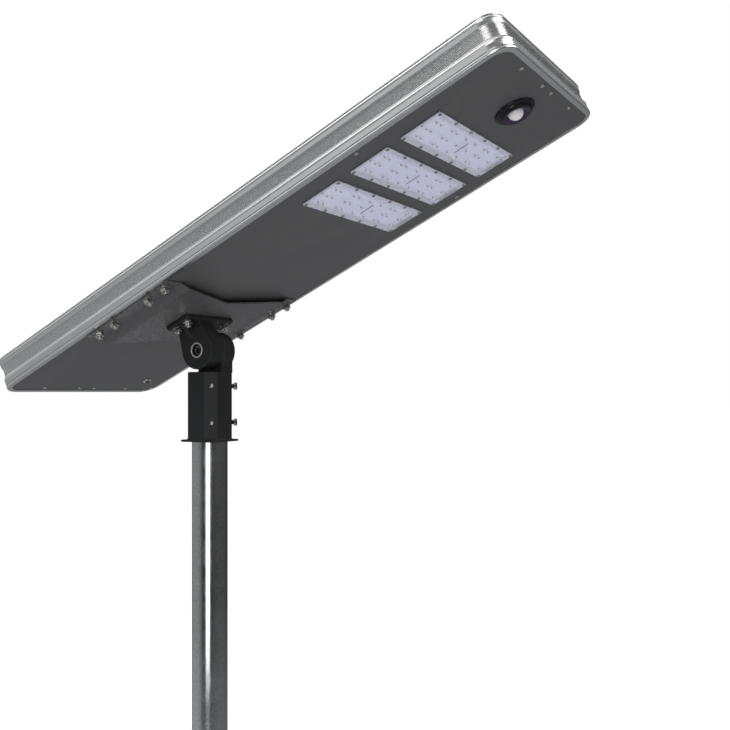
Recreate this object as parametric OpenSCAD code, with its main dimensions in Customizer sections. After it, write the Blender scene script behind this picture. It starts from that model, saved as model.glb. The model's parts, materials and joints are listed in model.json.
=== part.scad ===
// All-in-one solar street lamp: a flat lamp head on a tilting knuckle and a pole sleeve.
// Millimetres. The pole axis is Z, the foot of the pole is at Z = 0, and the lit end faces +X.
// The head is drawn level about its hinge axis and is then placed by on_head().

/* [Head] */
// Length of the head over the frame
head_len = 1051; // [900:1:1300]
// Width of the head over the frame
head_w = 344; // [335:1:460]
// Height of the head over the frame
head_h = 54; // [52:1:80]
// Outer radius of the frame's corners
corner_r = 32; // [28:1:45]
// Distance from the hinge axis back to the rear of the frame
hinge_back = 319; // [280:1:380]
// Distance from the hinge axis up to the underside panel
hinge_drop = 67; // [62:1:90]
// Angle of the head above level, lit end up
tilt = 24.5; // [0:0.5:40]

/* [Frame extrusion] */
// Width of the lip round the underside
lip_bottom = 9; // [7:0.5:14]
// Width of the lip round the glass
lip_top = 11; // [9:0.5:14]
// Thickness of the top lip
lip_t = 2; // [1.5:0.1:3]
// Depth of the ribbed band below the widest line of the frame
band_depth = 3; // [1.5:0.1:4]
// Metal left behind the ribbed band
wall_t = 2; // [1.6:0.1:3]
// Number of fine grooves in the ribbed band
groove_count = 9; // [4:1:12]
// Depth of one fine groove
groove_depth = 0.8; // [0.3:0.1:1]
// Reach of the inner ledge that the underside panel is screwed to
ledge_reach = 24; // [22:0.5:26]
// Thickness of the inner ledge
ledge_t = 2.5; // [2:0.1:4]
// Width of the butt joint where the bent frame closes
seam_gap = 0.4; // [0.2:0.1:1]

/* [Solar laminate] */
// Thickness of the cover glass
glass_t = 3.2; // [2.5:0.1:4]
// Thickness of a cell
cell_t = 0.3; // [0.2:0.05:0.5]
// Thickness of the backsheet under the cells
back_t = 0.5; // [0.3:0.1:1]
// Thickness of the rubber above and below the laminate
seal_t = 0.5; // [0.3:0.1:1]
// Edge length of a square cell
cell_size = 156.75; // [140:0.25:157]
// Gap between cells in a column
cell_gap = 2; // [1:0.1:4]
// Gap between the two columns
column_gap = 2.5; // [1:0.1:6]
// Cells in one column
cell_rows = 6; // [4:1:6]
// Ribbons along one column
ribbon_count = 5; // [3:1:7]
// Distance between ribbons
ribbon_pitch = 34; // [18:0.5:36]
// Width of a ribbon
ribbon_w = 1.2; // [0.8:0.1:2]
// Thickness of a ribbon, let into the face of the cell
ribbon_t = 0.1; // [0.05:0.01:0.15]
// Width of the cross ribbons at the ends of the columns
bus_w = 5; // [3:0.5:8]
// Length of the junction box under the laminate
jbox_l = 60; // [40:1:60]
// Width of the junction box
jbox_w = 110; // [60:1:140]
// Depth of the junction box
jbox_h = 20; // [12:1:24]

/* [Underside panel] */
// Thickness of the underside panel
sheet_t = 1.5; // [1:0.1:2.5]
// Depth of the panel inside the bottom lip
sheet_recess = 1; // [0.5:0.1:2]
// Clearance between the panel and the lip
sheet_clear = 0.3; // [0.1:0.1:1]
// Distance of the panel screws from the panel's edge
screw_inset = 9; // [7:0.5:12]
// Offset of the inner pair of end screws from the middle
screw_in = 17; // [12:1:40]
// Offset of the outer pair of end screws from the middle
screw_out = 93; // [60:1:115]
// Thread radius of the panel screws
screw_r = 2; // [1.5:0.1:3]
// Head radius of the panel screws
screw_head_r = 3.8; // [3:0.1:5]
// Head height of the panel screws
screw_head_h = 1.6; // [1:0.1:3]

/* [LED modules] */
// Number of LED modules
led_count = 3; // [3:1:3]
// Distance from the hinge axis to the first module
led_first = 381; // [360:1:400]
// Distance between modules
led_pitch = 91; // [80:1:100]
// Length of a lens plate across the head
lens_l = 249; // [200:1:262]
// Width of a lens plate
lens_w = 69; // [60:1:76]
// Thickness of the lens plate's rim
lens_rim_t = 2; // [1.5:0.1:3]
// Extra height of the raised middle of the lens plate
lens_rise = 1.8; // [1:0.1:4]
// Width of the lens plate's rim
lens_rim = 9; // [8:0.5:11]
// Wall of the raised middle
lens_wall = 1.4; // [1:0.1:2]
// Compressed thickness of the lens gasket
gasket_t = 0.8; // [0.5:0.1:1.5]
// Width of the lens gasket
gasket_w = 2.3; // [1.5:0.1:2.6]
// Clearance round the LED board in its window
board_clear = 0.3; // [0.2:0.1:1]
// Offset of the outer rows of LEDs from the middle row
led_row = 17.5; // [10:0.5:18]
// Side length of an LED
led_size = 3; // [2:0.1:5]
// Height of an LED
led_h = 0.7; // [0.4:0.1:1]
// Thickness of the heat spreader behind a board
spreader_t = 3; // [2:0.1:5]
// Distance from a lens's end to the middle of its last screw
lens_screw_inset = 5; // [4:0.1:8]
// Number of lens screws along one side
lens_screw_count = 6; // [4:1:6]
// Thread radius of the lens screws
lens_screw_r = 1.2; // [1:0.1:1.6]
// Head radius of the lens screws
lens_screw_head_r = 2.3; // [1.8:0.1:2.8]

/* [Motion sensor] */
// Distance from the hinge axis to the sensor
sensor_x = 659.5; // [640:0.5:670]
// Radius of the sensor's bezel
sensor_r = 31; // [24:0.5:38]
// Height of the sensor's bezel
sensor_h = 9; // [6:0.5:14]
// Radius of the sensor's dome
dome_r = 12.5; // [9:0.5:16]
// How far the dome stands out of the bezel
dome_out = 5.5; // [3:0.5:9]
// Wall of the dome
dome_t = 1; // [0.8:0.1:2]
// Radius of the sensor's threaded neck
neck_r = 14.5; // [13:0.5:20]
// Length of the neck above the panel's lower face
neck_h = 13; // [8:0.5:18]
// Clearance round the neck and round the dome
sensor_clear = 0.2; // [0.1:0.05:0.5]

/* [Power button] */
// Distance from the hinge axis back to the button
button_back = 264; // [240:1:270]
// Offset of the button from the middle of the head
button_y = 117; // [60:1:125]
// Radius of the button's bezel
button_bezel_r = 8; // [7:0.5:12]
// Height of the bezel under the panel
button_bezel_h = 2.5; // [1.5:0.1:4]
// Radius of the button's threaded barrel
button_barrel_r = 6; // [5.5:0.1:9]
// Radius of the cap that is pushed
button_cap_r = 4.4; // [3:0.1:4.6]
// Clearance round the cap
button_clear = 0.2; // [0.1:0.05:0.4]
// How far the cap stands out of the bezel
button_out = 1.6; // [1:0.1:3]
// Travel of the cap
button_travel = 1.2; // [0.5:0.1:2]
// Length of the barrel above the panel's lower face
button_barrel_h = 14; // [10:0.5:20]

/* [Battery and electronics] */
// Distance from the hinge axis back to the middle of the battery
battery_back = 110; // [100:1:120]
// Diameter of a battery cell
bat_cell_d = 32; // [26:0.5:32]
// Length of a battery cell
bat_cell_l = 70; // [60:1:72]
// Cells side by side along the head
bat_columns = 6; // [4:1:6]
// Distance between neighbouring battery cells
bat_pitch = 33.4; // [33:0.1:34]
// Gap between the two rows of battery cells
bat_row_gap = 4; // [2:0.5:8]
// Thickness of a cell holder
holder_t = 3; // [2:0.5:5]
// Clearance round a cell in its holder
holder_clear = 0.1; // [0.05:0.05:0.5]
// Sheet thickness of the battery tray
tray_t = 1.5; // [1:0.1:2]
// Thickness of the hold-down straps
strap_t = 1; // [0.6:0.1:1.5]
// Width of the hold-down straps
strap_w = 16; // [10:1:25]
// Distance from the hinge axis to the middle of the controller
control_x = 180; // [170:1:190]
// Length of the controller case
control_l = 120; // [90:1:125]
// Width of the controller case
control_w = 100; // [70:1:140]
// Height of the controller case
control_h = 27; // [18:1:30]
// Wall of the controller case
control_wall = 2; // [1.5:0.1:3]
// Radius of the wiring loom
loom_r = 2.5; // [1.5:0.1:3.5]

/* [Bracket] */
// Length of the bracket along the head
bracket_l = 196; // [185:1:230]
// Thickness of the bracket's plate
bracket_t = 3; // [2:0.1:4]
// Distance from the panel to the lower face of the bracket's middle
bracket_drop = 12; // [11.5:0.5:16]
// Distance from the head's side to the inner edge of the bracket's foot
foot_inset = 38; // [32:1:46]
// Distance from the head's side to the foot of the bracket's sloped web
web_inset = 52; // [48:1:72]
// Clearance from the foot strips to the lip of the frame
foot_clear = 1; // [0.5:0.1:3]
// Depth of the notch in the bracket's front and rear edges
notch = 28; // [10:1:32]
// Distance from the head's side to the foot bolts
foot_bolt_inset = 19; // [17:0.5:22]
// Distance along the head from the middle to the inner foot bolts
foot_bolt_in = 41; // [30:1:50]
// Distance along the head from the middle to the outer foot bolts
foot_bolt_out = 79; // [70:1:84]
// Thread radius of the M8 bolts
bolt_r = 4; // [3.8:0.1:4.2]
// Clearance round a bolt in its hole
bolt_clear = 0.5; // [0.3:0.1:1]
// Width across flats of the M8 hexagons
hex_af = 13; // [12.5:0.1:13.5]
// Height of the M8 bolt heads
hex_head_h = 5.3; // [5:0.1:5.5]
// Height of the M8 nuts
nut_h = 6.5; // [5:0.1:7]
// Radius of the M8 washers
washer_r = 8; // [7.8:0.1:8.5]
// Thickness of the M8 washers
washer_t = 1.6; // [1:0.1:2]
// Thread that shows past a nut
thread_out = 4; // [2:0.5:6]

/* [Knuckle] */
// Length of the knuckle's flange along the head
flange_l = 52; // [46:1:60]
// Width of the knuckle's flange
flange_w = 116; // [108:1:130]
// Thickness of the knuckle's flange
flange_t = 8; // [6:0.5:10]
// Offset of the flange bolts along the head
flange_bolt_x = 12.5; // [10:0.5:15]
// Offset of the flange bolts across the head
flange_bolt_y = 46; // [42:0.5:48]
// Radius of the knuckle
knuckle_r = 33; // [30:0.5:35]
// Width of the upper half of the knuckle
upper_w = 32.5; // [27:0.5:34]
// Width of the lower half of the knuckle
knuckle_w = 27; // [24:0.5:30]
// Gap between the two halves
knuckle_gap = 0.4; // [0.3:0.1:1]
// Half width of the upper lug where it meets the flange
lug_half = 24; // [20:0.5:26]
// Number of teeth in each serrated face
teeth = 24; // [12:1:36]
// Depth of the teeth
tooth_h = 1.2; // [0.5:0.1:2]
// Outer radius of the serrated faces
teeth_r = 28; // [24:0.5:29]
// Thickness of the rib that braces the upper lug
rib_t = 6; // [4:0.5:8]
// Reach of the rib under the flange
rib_reach = 19; // [14:0.5:20]
// Thread radius of the M12 pivot bolt
pivot_r = 6; // [5:0.1:6.5]
// Running clearance of the pivot bolt in the upper half
pivot_clear = 0.05; // [0.02:0.01:0.1]
// Radius of the recess round each end of the pivot bolt
recess_r = 13; // [12.5:0.1:15]
// Depth of the recess
recess_h = 12; // [10:0.5:14]
// Inner radius of the steel ring in the recess
ring_in = 10.6; // [10.2:0.1:11]
// Length of the steel ring
ring_h = 3; // [2:0.1:4]
// Radius of the pivot bolt's head
pivot_head_r = 9; // [8.5:0.1:9.4]
// Height of the pivot bolt's head
pivot_head_h = 8; // [5:0.5:8]
// Width across flats of the pivot nut
pivot_af = 19; // [18:0.5:21]
// Height of the pivot nut
pivot_nut_h = 9; // [6:0.5:10]
// Clearance under the pivot bolt's head
pivot_head_gap = 0.3; // [0.2:0.1:0.5]

/* [Sleeve and pole] */
// Height of the hinge axis above the foot of the pole
hinge_h = 755; // [700:1:3000]
// Distance from the hinge axis down to the sleeve
sleeve_drop = 37; // [36:0.5:45]
// Height of the sleeve
sleeve_h = 120; // [100:1:150]
// Clearance of the sleeve on the pole
sleeve_clear = 0.4; // [0.3:0.1:1]
// Thinnest wall of the sleeve, at the middle of a flat
sleeve_wall = 2.9; // [2.5:0.1:6]
// Length cut off each corner of the square sleeve
sleeve_chamfer = 15; // [13:0.5:18]
// Thickness of the sleeve's end plate
cap_t = 6; // [4:0.5:10]
// Overhang of the square collar at the foot of the sleeve
collar_out = 1; // [0.5:0.1:3]
// Height of the collar
collar_h = 4; // [3:0.5:6]
// Depth of the upper clamp screws below the top of the sleeve
screw_top = 24; // [18:1:30]
// Depth of the lower clamp screws below the top of the sleeve
screw_low = 87; // [70:1:92]
// How far a clamp screw's head stands off the sleeve
clamp_off = 3.5; // [2:0.5:6]
// Radius of a clamp screw's head
clamp_head_r = 6.2; // [5.5:0.1:6.5]
// Height of a clamp screw's head
clamp_head_h = 6; // [4:0.5:8]
// Diameter of the pole
pole_d = 60; // [50:0.1:76]
// Wall of the pole
pole_t = 2.5; // [2:0.1:4]
// Side of the square base plate
base_w = 180; // [170:1:260]
// Thickness of the base plate
base_t = 8; // [6:0.5:16]
// Corner radius of the base plate
base_corner = 10; // [5:1:15]
// Distance between the base plate's holes
base_pitch = 130; // [125:1:200]
// Radius of the base plate's holes
base_hole_r = 7; // [5:0.5:9]
// Height of the gussets at the foot of the pole
gusset_h = 60; // [40:1:90]
// Reach of the gussets along the base plate
gusset_l = 45; // [30:1:50]
// Thickness of the gussets
gusset_t = 5; // [4:0.5:8]
// Leg of the weld between pole and base plate
weld = 5; // [3:0.5:6]

/* [Hidden] */
$fn = 64;
eps = 0.01;
seat = 0.3;                                  // play where parts of two bodies meet

// levels above the hinge axis, in the level head
z_sheet = hinge_drop;
z_floor = z_sheet + sheet_t;
z_frame = z_sheet - sheet_recess;
z_top = z_frame + head_h;
slot_h = glass_t + cell_t + back_t + 2 * seal_t;
z_slot = z_top - lip_t - slot_h;
z_back = z_slot + seal_t;
z_cell = z_back + back_t;
z_glass = z_cell + cell_t;
z_plate = z_sheet - bracket_drop;
z_flange = z_plate - flange_t;

// plan of the head
mid_x = head_len / 2 - hinge_back;
wall_in = band_depth + wall_t;
slot_in = wall_in + 0.5;
slot_ledge = lip_top + 2;
sheet_l = head_len - 2 * lip_bottom - 2 * sheet_clear;
sheet_w = head_w - 2 * lip_bottom - 2 * sheet_clear;
laminate_in = slot_in + seal_t;
laminate_l = head_len - 2 * laminate_in;
laminate_w = head_w - 2 * laminate_in;
cells_l = cell_rows * cell_size + (cell_rows - 1) * cell_gap;
cells_w = 2 * cell_size + column_gap;
column_y = (cell_size + column_gap) / 2;
ends_x = [mid_x - head_len / 2 + lip_bottom + screw_inset, mid_x + head_len / 2 - lip_bottom - screw_inset];
side_screw_y = head_w / 2 - lip_bottom - screw_inset;
side_screw_x = led_first + led_pitch;
bus_x = cells_l / 2 + 8;

// LED module
window_l = lens_l - 2 * lens_rim;
window_w = lens_w - 2 * lens_rim;
board_l = window_l - 2 * board_clear;
board_w = window_w - 2 * board_clear;
led_places = [for (share = [0.064, 0.189, 0.245, 0.382, 0.434]) share * lens_l];
lens_screw_x = lens_w / 2 - 3.6;

// battery and electronics
tray_l = bat_columns * bat_pitch + 2 * tray_t + 5;
tray_w = 2 * bat_cell_l + bat_row_gap + 2 * tray_t + 2;
holder_h = bat_cell_d + 2.4;
z_tray = z_floor + tray_t;
z_bat = z_tray + holder_h / 2;
z_strap = z_tray + holder_h;
tray_flange = 14;
z_loom = z_floor + control_h * 0.65;

// bolts through the bracket
foot_y = head_w / 2 - lip_bottom - foot_clear;
foot_in = head_w / 2 - foot_inset;
web_in = head_w / 2 - web_inset;
foot_bolt_y = head_w / 2 - foot_bolt_inset;
foot_z = z_sheet - bracket_t;
ledge_top = z_sheet + sheet_t + ledge_t;
hole_r = bolt_r + bolt_clear;

// sleeve and pole
pole_r = pole_d / 2;
bore_r = pole_r + sleeve_clear;
sleeve_half = bore_r + sleeve_wall;
z_cap = hinge_h - sleeve_drop;
z_sleeve = z_cap - sleeve_h;
pole_top = z_cap - cap_t - seat;
chamfer_face = (2 * sleeve_half - sleeve_chamfer) / sqrt(2);
clamp_tip = pole_r + seat;

// ---------- helpers ----------

// places a part drawn about the hinge axis of a level head
module on_head() {
    translate([0, 0, hinge_h]) rotate([0, -tilt, 0]) children();
}

// rectangle with true round corners, centred
module rounded(l, w, r) {
    square([l - 2 * r, w], center = true);
    square([l, w - 2 * r], center = true);
    for (sx = [-1, 1], sy = [-1, 1])
        translate([sx * (l / 2 - r), sy * (w / 2 - r)]) circle(r);
}

module rounded_plate(l, w, h, r) {
    linear_extrude(h) rounded(l, w, r);
}

// flat ring between two rounded rectangles
module rounded_ring(l, w, h, r, band) {
    linear_extrude(h) difference() {
        rounded(l, w, r);
        rounded(l - 2 * band, w - 2 * band, max(r - band, 0.5));
    }
}

module hexagon(af, h) {
    cylinder(h = h, r = af / sqrt(3), $fn = 6);
}

module tube(r_out, r_in, h) {
    difference() {
        cylinder(h = h, r = r_out);
        translate([0, 0, -1]) cylinder(h = h + 2, r = r_in);
    }
}

// sweeps a section, given as [depth from the outer face, height], round the head
module head_loop(points) {
    half = [head_len / 2 - corner_r, head_w / 2 - corner_r];
    turned = [for (p = points) [corner_r - p[0], p[1]]];
    translate([mid_x, 0, 0]) {
        for (a = [0, 180]) {
            rotate([0, 0, a]) translate([half[0], half[1], 0]) rotate([90, 0, 0])
                linear_extrude(2 * half[1]) polygon(turned);
            rotate([0, 0, a]) translate([-half[0], half[1], 0]) rotate([90, 0, 90])
                linear_extrude(2 * half[0]) polygon(turned);
        }
        for (c = [[1, 1, 0], [-1, 1, 90], [-1, -1, 180], [1, -1, 270]])
            translate([c[0] * half[0], c[1] * half[1], 0]) rotate([0, 0, c[2]])
                rotate_extrude(angle = 90) polygon(turned);
    }
}

module at_end_screws() {
    for (x = ends_x, y = [-screw_out, -screw_in, screw_in, screw_out]) translate([x, y, 0]) children();
    for (y = [-side_screw_y, side_screw_y]) translate([side_screw_x, y, 0]) children();
}

module at_foot_bolts() {
    for (x = [-foot_bolt_out, -foot_bolt_in, foot_bolt_in, foot_bolt_out], y = [-foot_bolt_y, foot_bolt_y])
        translate([x, y, 0]) children();
}

module at_flange_bolts() {
    for (x = [-flange_bolt_x, flange_bolt_x], y = [-flange_bolt_y, flange_bolt_y])
        translate([x, y, 0]) children();
}

module at_module(i) {
    translate([led_first + (i - 1) * led_pitch, 0, z_sheet]) children();
}

module at_lens_screws() {
    reach = lens_l / 2 - lens_screw_inset;
    pitch = 2 * reach / (lens_screw_count - 1);
    for (k = [0:lens_screw_count - 1], x = [-lens_screw_x, lens_screw_x])
        translate([x, k * pitch - reach, 0]) children();
}

module at_cells() {
    for (i = [0:cell_rows - 1], side = [-1, 1])
        translate([mid_x - cells_l / 2 + cell_size / 2 + i * (cell_size + cell_gap), side * column_y, 0]) children();
}

// ---------- frame ----------

// section of the bent frame extrusion
function groove_points() = [
    let (pitch = (head_h * 0.33) / groove_count, start = head_h * 0.4)
    for (i = [0:groove_count - 1], step = [[0.1, 0], [0.35, 1], [0.65, 1], [0.9, 0]])
        [band_depth + step[1] * groove_depth, start + (i + step[0]) * pitch]
];

function frame_section() = concat(
    [[lip_bottom, 0], [2.2, 0], [0.9, 0.6], [0.3, 1.6], [0.1, 3], [0.3, head_h * 0.088]],
    [[1.6, head_h * 0.094], [1.6, head_h * 0.115], [0.5, head_h * 0.12]],
    [[0.7, head_h * 0.27], [0.25, head_h * 0.29], [0, head_h * 0.315], [0.25, head_h * 0.34]],
    [[1.1, head_h * 0.36], [band_depth, head_h * 0.385]],
    groove_points(),
    [[band_depth, head_h * 0.735], [1.0, head_h * 0.745], [0.6, head_h * 0.875]],
    [[0.2, head_h * 0.885], [0, head_h * 0.91], [0.2, head_h * 0.935], [0.9, head_h * 0.955]],
    [[1.8, head_h * 0.96], [1.8, head_h * 0.968], [1.2, head_h * 0.972], [1.2, head_h * 0.985]],
    [[2.2, head_h], [lip_top - 2.5, head_h], [lip_top - 2.2, head_h - 0.5], [lip_top - 1.6, head_h - 0.5]],
    [[lip_top - 1.3, head_h], [lip_top, head_h], [lip_top, head_h - lip_t], [slot_in, head_h - lip_t]],
    [[slot_in, head_h - lip_t - slot_h], [slot_ledge, head_h - lip_t - slot_h]],
    [[slot_ledge, head_h - lip_t - slot_h - wall_t], [wall_in, head_h - lip_t - slot_h - wall_t]],
    [[wall_in, ledge_top - z_frame], [ledge_reach, ledge_top - z_frame], [ledge_reach, z_floor - z_frame]],
    [[lip_bottom, z_floor - z_frame]]
);

module frame_rail() {
    color("silver") on_head() difference() {
        translate([0, 0, z_frame]) head_loop(frame_section());
        translate([mid_x - head_len / 2 - 1, -seam_gap / 2, z_frame - 1])
            cube([ledge_reach + 2, seam_gap, head_h + 2]);
        translate([0, 0, z_floor - 1]) at_end_screws() cylinder(h = ledge_t + 2, r = screw_r);
        translate([0, 0, z_floor - 1]) at_foot_bolts() cylinder(h = ledge_t + 2, r = hole_r);
    }
}

// plate behind the butt joint, between the two ledges
module frame_splice() {
    splice_l = 60;
    low = ledge_top;
    high = z_slot - wall_t;
    color("gray") on_head()
        translate([mid_x - head_len / 2 + wall_in, -splice_l / 2, low]) cube([wall_t, splice_l, high - low]);
}

// ---------- solar laminate ----------

module solar_glass() {
    color([0.85, 0.9, 0.95, 0.4]) on_head() translate([mid_x, 0, z_glass])
        rounded_plate(laminate_l, laminate_w, glass_t, corner_r - laminate_in);
}

module cell_ribbon_bars() {
    for (side = [-1, 1], k = [0:ribbon_count - 1])
        translate([mid_x, side * column_y + (k - (ribbon_count - 1) / 2) * ribbon_pitch, z_glass - ribbon_t / 2])
            cube([2 * bus_x - bus_w, ribbon_w, ribbon_t], center = true);
}

module bus_ribbon_bars() {
    bar_w = (ribbon_count - 1) * ribbon_pitch + 6;
    translate([mid_x + bus_x, 0, z_glass - ribbon_t / 2])
        cube([bus_w, 2 * column_y + bar_w, ribbon_t], center = true);
    for (side = [-1, 1])
        translate([mid_x - bus_x, side * column_y, z_glass - ribbon_t / 2])
            cube([bus_w, bar_w, ribbon_t], center = true);
}

module cell_blanks() {
    translate([0, 0, z_cell + cell_t / 2]) at_cells() cube([cell_size, cell_size, cell_t], center = true);
}

module solar_cells() {
    color([0.03, 0.03, 0.05]) on_head() difference() {
        cell_blanks();
        cell_ribbon_bars();
    }
}

module cell_ribbons() {
    color("silver") on_head() {
        cell_ribbon_bars();
        bus_ribbon_bars();
    }
}

module backsheet() {
    color("lightgray") on_head() difference() {
        translate([mid_x, 0, z_back])
            rounded_plate(laminate_l, laminate_w, back_t + cell_t, corner_r - laminate_in);
        cell_blanks();
        cell_ribbon_bars();
        bus_ribbon_bars();
    }
}

module laminate_seal() {
    reach = lip_top - 0.5;
    low = z_slot - z_frame;
    high = low + slot_h;
    color([0.08, 0.08, 0.08]) on_head() translate([0, 0, z_frame])
        head_loop([
            [slot_in, low], [slot_in, high], [reach, high], [reach, high - seal_t], [laminate_in, high - seal_t],
            [laminate_in, low + seal_t], [reach, low + seal_t], [reach, low]
        ]);
}

// junction box glued under the backsheet, near the rear
jbox_x = mid_x - head_len / 2 + slot_ledge + 12;

module junction_box() {
    color([0.1, 0.1, 0.1]) on_head() translate([jbox_x, -jbox_w / 2, z_back - jbox_h]) difference() {
        cube([jbox_l, jbox_w, jbox_h]);
        translate([control_wall, control_wall, control_wall])
            cube([jbox_l - 2 * control_wall, jbox_w - 2 * control_wall, jbox_h]);
    }
}

// ---------- underside ----------

module bottom_panel() {
    color([0.25, 0.26, 0.28]) on_head() difference() {
        translate([mid_x, 0, z_sheet])
            rounded_plate(sheet_l, sheet_w, sheet_t, corner_r - lip_bottom - sheet_clear);
        for (i = [1:led_count])
            at_module(i) translate([0, 0, sheet_t / 2]) cube([window_w, window_l, sheet_t + 2], center = true);
        for (i = [1:led_count])
            at_module(i) translate([0, 0, -1]) at_lens_screws() cylinder(h = sheet_t + 2, r = lens_screw_r);
        translate([0, 0, z_sheet - 1]) {
            at_end_screws() cylinder(h = sheet_t + 2, r = screw_r + 0.2);
            at_foot_bolts() cylinder(h = sheet_t + 2, r = hole_r);
            translate([sensor_x, 0, 0]) cylinder(h = sheet_t + 2, r = neck_r + sensor_clear);
            translate([-button_back, button_y, 0]) cylinder(h = sheet_t + 2, r = button_barrel_r + button_clear);
        }
    }
}

// domed head with a cross slot, and its thread
module cross_screw(head_r, head_h, thread_r, thread_l) {
    slot = head_r * 0.3;
    difference() {
        union() {
            translate([0, 0, -head_h * 0.4]) cylinder(h = head_h * 0.4, r = head_r);
            translate([0, 0, -head_h]) cylinder(h = head_h * 0.6, r1 = head_r * 0.7, r2 = head_r);
        }
        for (a = [0, 90])
            rotate([0, 0, a]) translate([0, 0, -head_h]) cube([head_r * 1.2, slot, head_h], center = true);
    }
    cylinder(h = thread_l, r = thread_r);
}

module panel_screws() {
    color("gainsboro") on_head() translate([0, 0, z_sheet]) at_end_screws()
        cross_screw(screw_head_r, screw_head_h, screw_r, sheet_t + ledge_t + 3);
}

// ---------- LED modules ----------

module led_lens(i) {
    base = gasket_t + lens_rim_t;
    top_l = window_l + 2;
    top_w = window_w + 1;
    color([0.85, 0.86, 0.95, 0.6]) on_head() at_module(i) difference() {
        union() {
            translate([0, 0, -base]) rounded_plate(lens_w, lens_l, lens_rim_t, 3);
            translate([0, 0, -base - lens_rise]) rounded_plate(top_w, top_l, lens_rise, 2);
        }
        translate([0, 0, -base - lens_rise + lens_wall])
            rounded_plate(window_w - 2 * lens_wall, window_l - 2 * lens_wall, base + lens_rise, 1.5);
        translate([0, 0, -base - lens_rise - 1])
            at_lens_screws() cylinder(h = base + lens_rise + 2, r = lens_screw_r + 0.2);
    }
}

module lens_gasket(i) {
    color([0.1, 0.1, 0.1]) on_head() at_module(i) translate([0, 0, -gasket_t])
        rounded_ring(window_w + 2 * gasket_w, window_l + 2 * gasket_w, gasket_t, 3, gasket_w);
}

module led_board(i) {
    color("white") on_head() at_module(i) {
        translate([0, 0, sheet_t / 2]) cube([board_w, board_l, sheet_t], center = true);
        for (x = [-led_row, 0, led_row], y = led_places, side = [-1, 1])
            translate([x, side * y, -led_h / 2 + eps]) cube([led_size, led_size, led_h + 2 * eps], center = true);
    }
}

module heat_spreader(i) {
    color("silver") on_head() at_module(i) difference() {
        translate([0, 0, sheet_t]) rounded_plate(lens_w, lens_l, spreader_t, 3);
        translate([0, 0, sheet_t - 1]) at_lens_screws() cylinder(h = spreader_t + 2, r = lens_screw_r);
    }
}

module lens_screws() {
    head_h = 1.2;
    base = gasket_t + lens_rim_t;
    color("gainsboro") on_head() for (i = [1:led_count])
        at_module(i) translate([0, 0, -base]) at_lens_screws()
            cross_screw(lens_screw_head_r, head_h, lens_screw_r, base + sheet_t + spreader_t);
}

// ---------- motion sensor ----------

module sensor_bezel() {
    bore = dome_r + sensor_clear;
    color([0.03, 0.03, 0.04]) on_head() translate([sensor_x, 0, z_sheet]) rotate_extrude() polygon([
        [bore, neck_h], [neck_r, neck_h], [neck_r, 0], [sensor_r, 0], [sensor_r, -sensor_h * 0.2],
        [sensor_r - 1.2, -sensor_h * 0.33], [sensor_r - 4, -sensor_h * 0.42], [sensor_r - 4.5, -sensor_h * 0.6],
        [sensor_r - 7, -sensor_h * 0.85], [sensor_r - 10, -sensor_h], [bore + 3, -sensor_h],
        [bore, -sensor_h * 0.75]
    ]);
}

module sensor_dome() {
    foot = -sensor_h * 0.7;
    drop = -sensor_h - dome_out + dome_r;
    color("whitesmoke") on_head() translate([sensor_x, 0, z_sheet]) {
        rotate_extrude() intersection() {
            translate([0, drop]) difference() {
                circle(dome_r);
                circle(dome_r - dome_t);
            }
            translate([0, drop - dome_r]) square([dome_r, dome_r]);
        }
        translate([0, 0, drop]) tube(dome_r, dome_r - dome_t, neck_h - drop - sheet_t);
    }
}

module sensor_board() {
    color("green") on_head() translate([sensor_x, 0, z_sheet + neck_h - sheet_t])
        cylinder(h = sheet_t, r = dome_r);
}

module sensor_nut() {
    color([0.1, 0.1, 0.1]) on_head() translate([sensor_x, 0, z_floor]) difference() {
        hexagon(2 * neck_r + 9, 5);
        translate([0, 0, -1]) cylinder(h = 7, r = neck_r);
    }
}

// ---------- power button ----------

module at_button() {
    on_head() translate([-button_back, button_y, z_sheet]) children();
}

module button_barrel() {
    bore = button_cap_r + button_clear;
    color("dimgray") at_button() rotate_extrude() polygon([
        [bore, -button_bezel_h], [button_bezel_r - 1, -button_bezel_h], [button_bezel_r, -button_bezel_h + 1],
        [button_bezel_r, 0], [button_barrel_r, 0], [button_barrel_r, button_barrel_h], [0, button_barrel_h],
        [0, button_travel + 4], [bore, button_travel + 4]
    ]);
}

module button_nut() {
    color("silver") at_button() translate([0, 0, sheet_t]) difference() {
        hexagon(2 * button_barrel_r + 3, 3);
        translate([0, 0, -1]) cylinder(h = 5, r = button_barrel_r);
    }
}

module button_cap() {
    top = -button_bezel_h - button_out;
    color([0.06, 0.06, 0.06]) at_button() rotate_extrude() polygon([
        [0, top], [button_cap_r - 0.8, top], [button_cap_r, top + 0.8], [button_cap_r, 4 - seat], [0, 4 - seat]
    ]);
}

// ---------- battery and electronics ----------

module at_battery() {
    translate([-battery_back, 0, 0]) children();
}

module battery_tray() {
    wall_h = holder_h * 0.8;
    color("gray") on_head() at_battery() translate([0, 0, z_floor]) difference() {
        union() {
            translate([-tray_l / 2, -tray_w / 2, 0]) cube([tray_l, tray_w, tray_t + wall_h]);
            translate([-tray_l / 2, -tray_w / 2 - tray_flange, 0])
                cube([tray_l, tray_w + 2 * tray_flange, tray_t]);
        }
        translate([-tray_l / 2 + tray_t, -tray_w / 2 + tray_t, tray_t])
            cube([tray_l - 2 * tray_t, tray_w - 2 * tray_t, wall_h + 1]);
    }
}

function battery_y() = (bat_cell_l + bat_row_gap) / 2;

module at_battery_cells() {
    for (i = [0:bat_columns - 1], side = [-1, 1])
        translate([(i - (bat_columns - 1) / 2) * bat_pitch, side * battery_y(), z_bat]) children();
}

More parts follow.
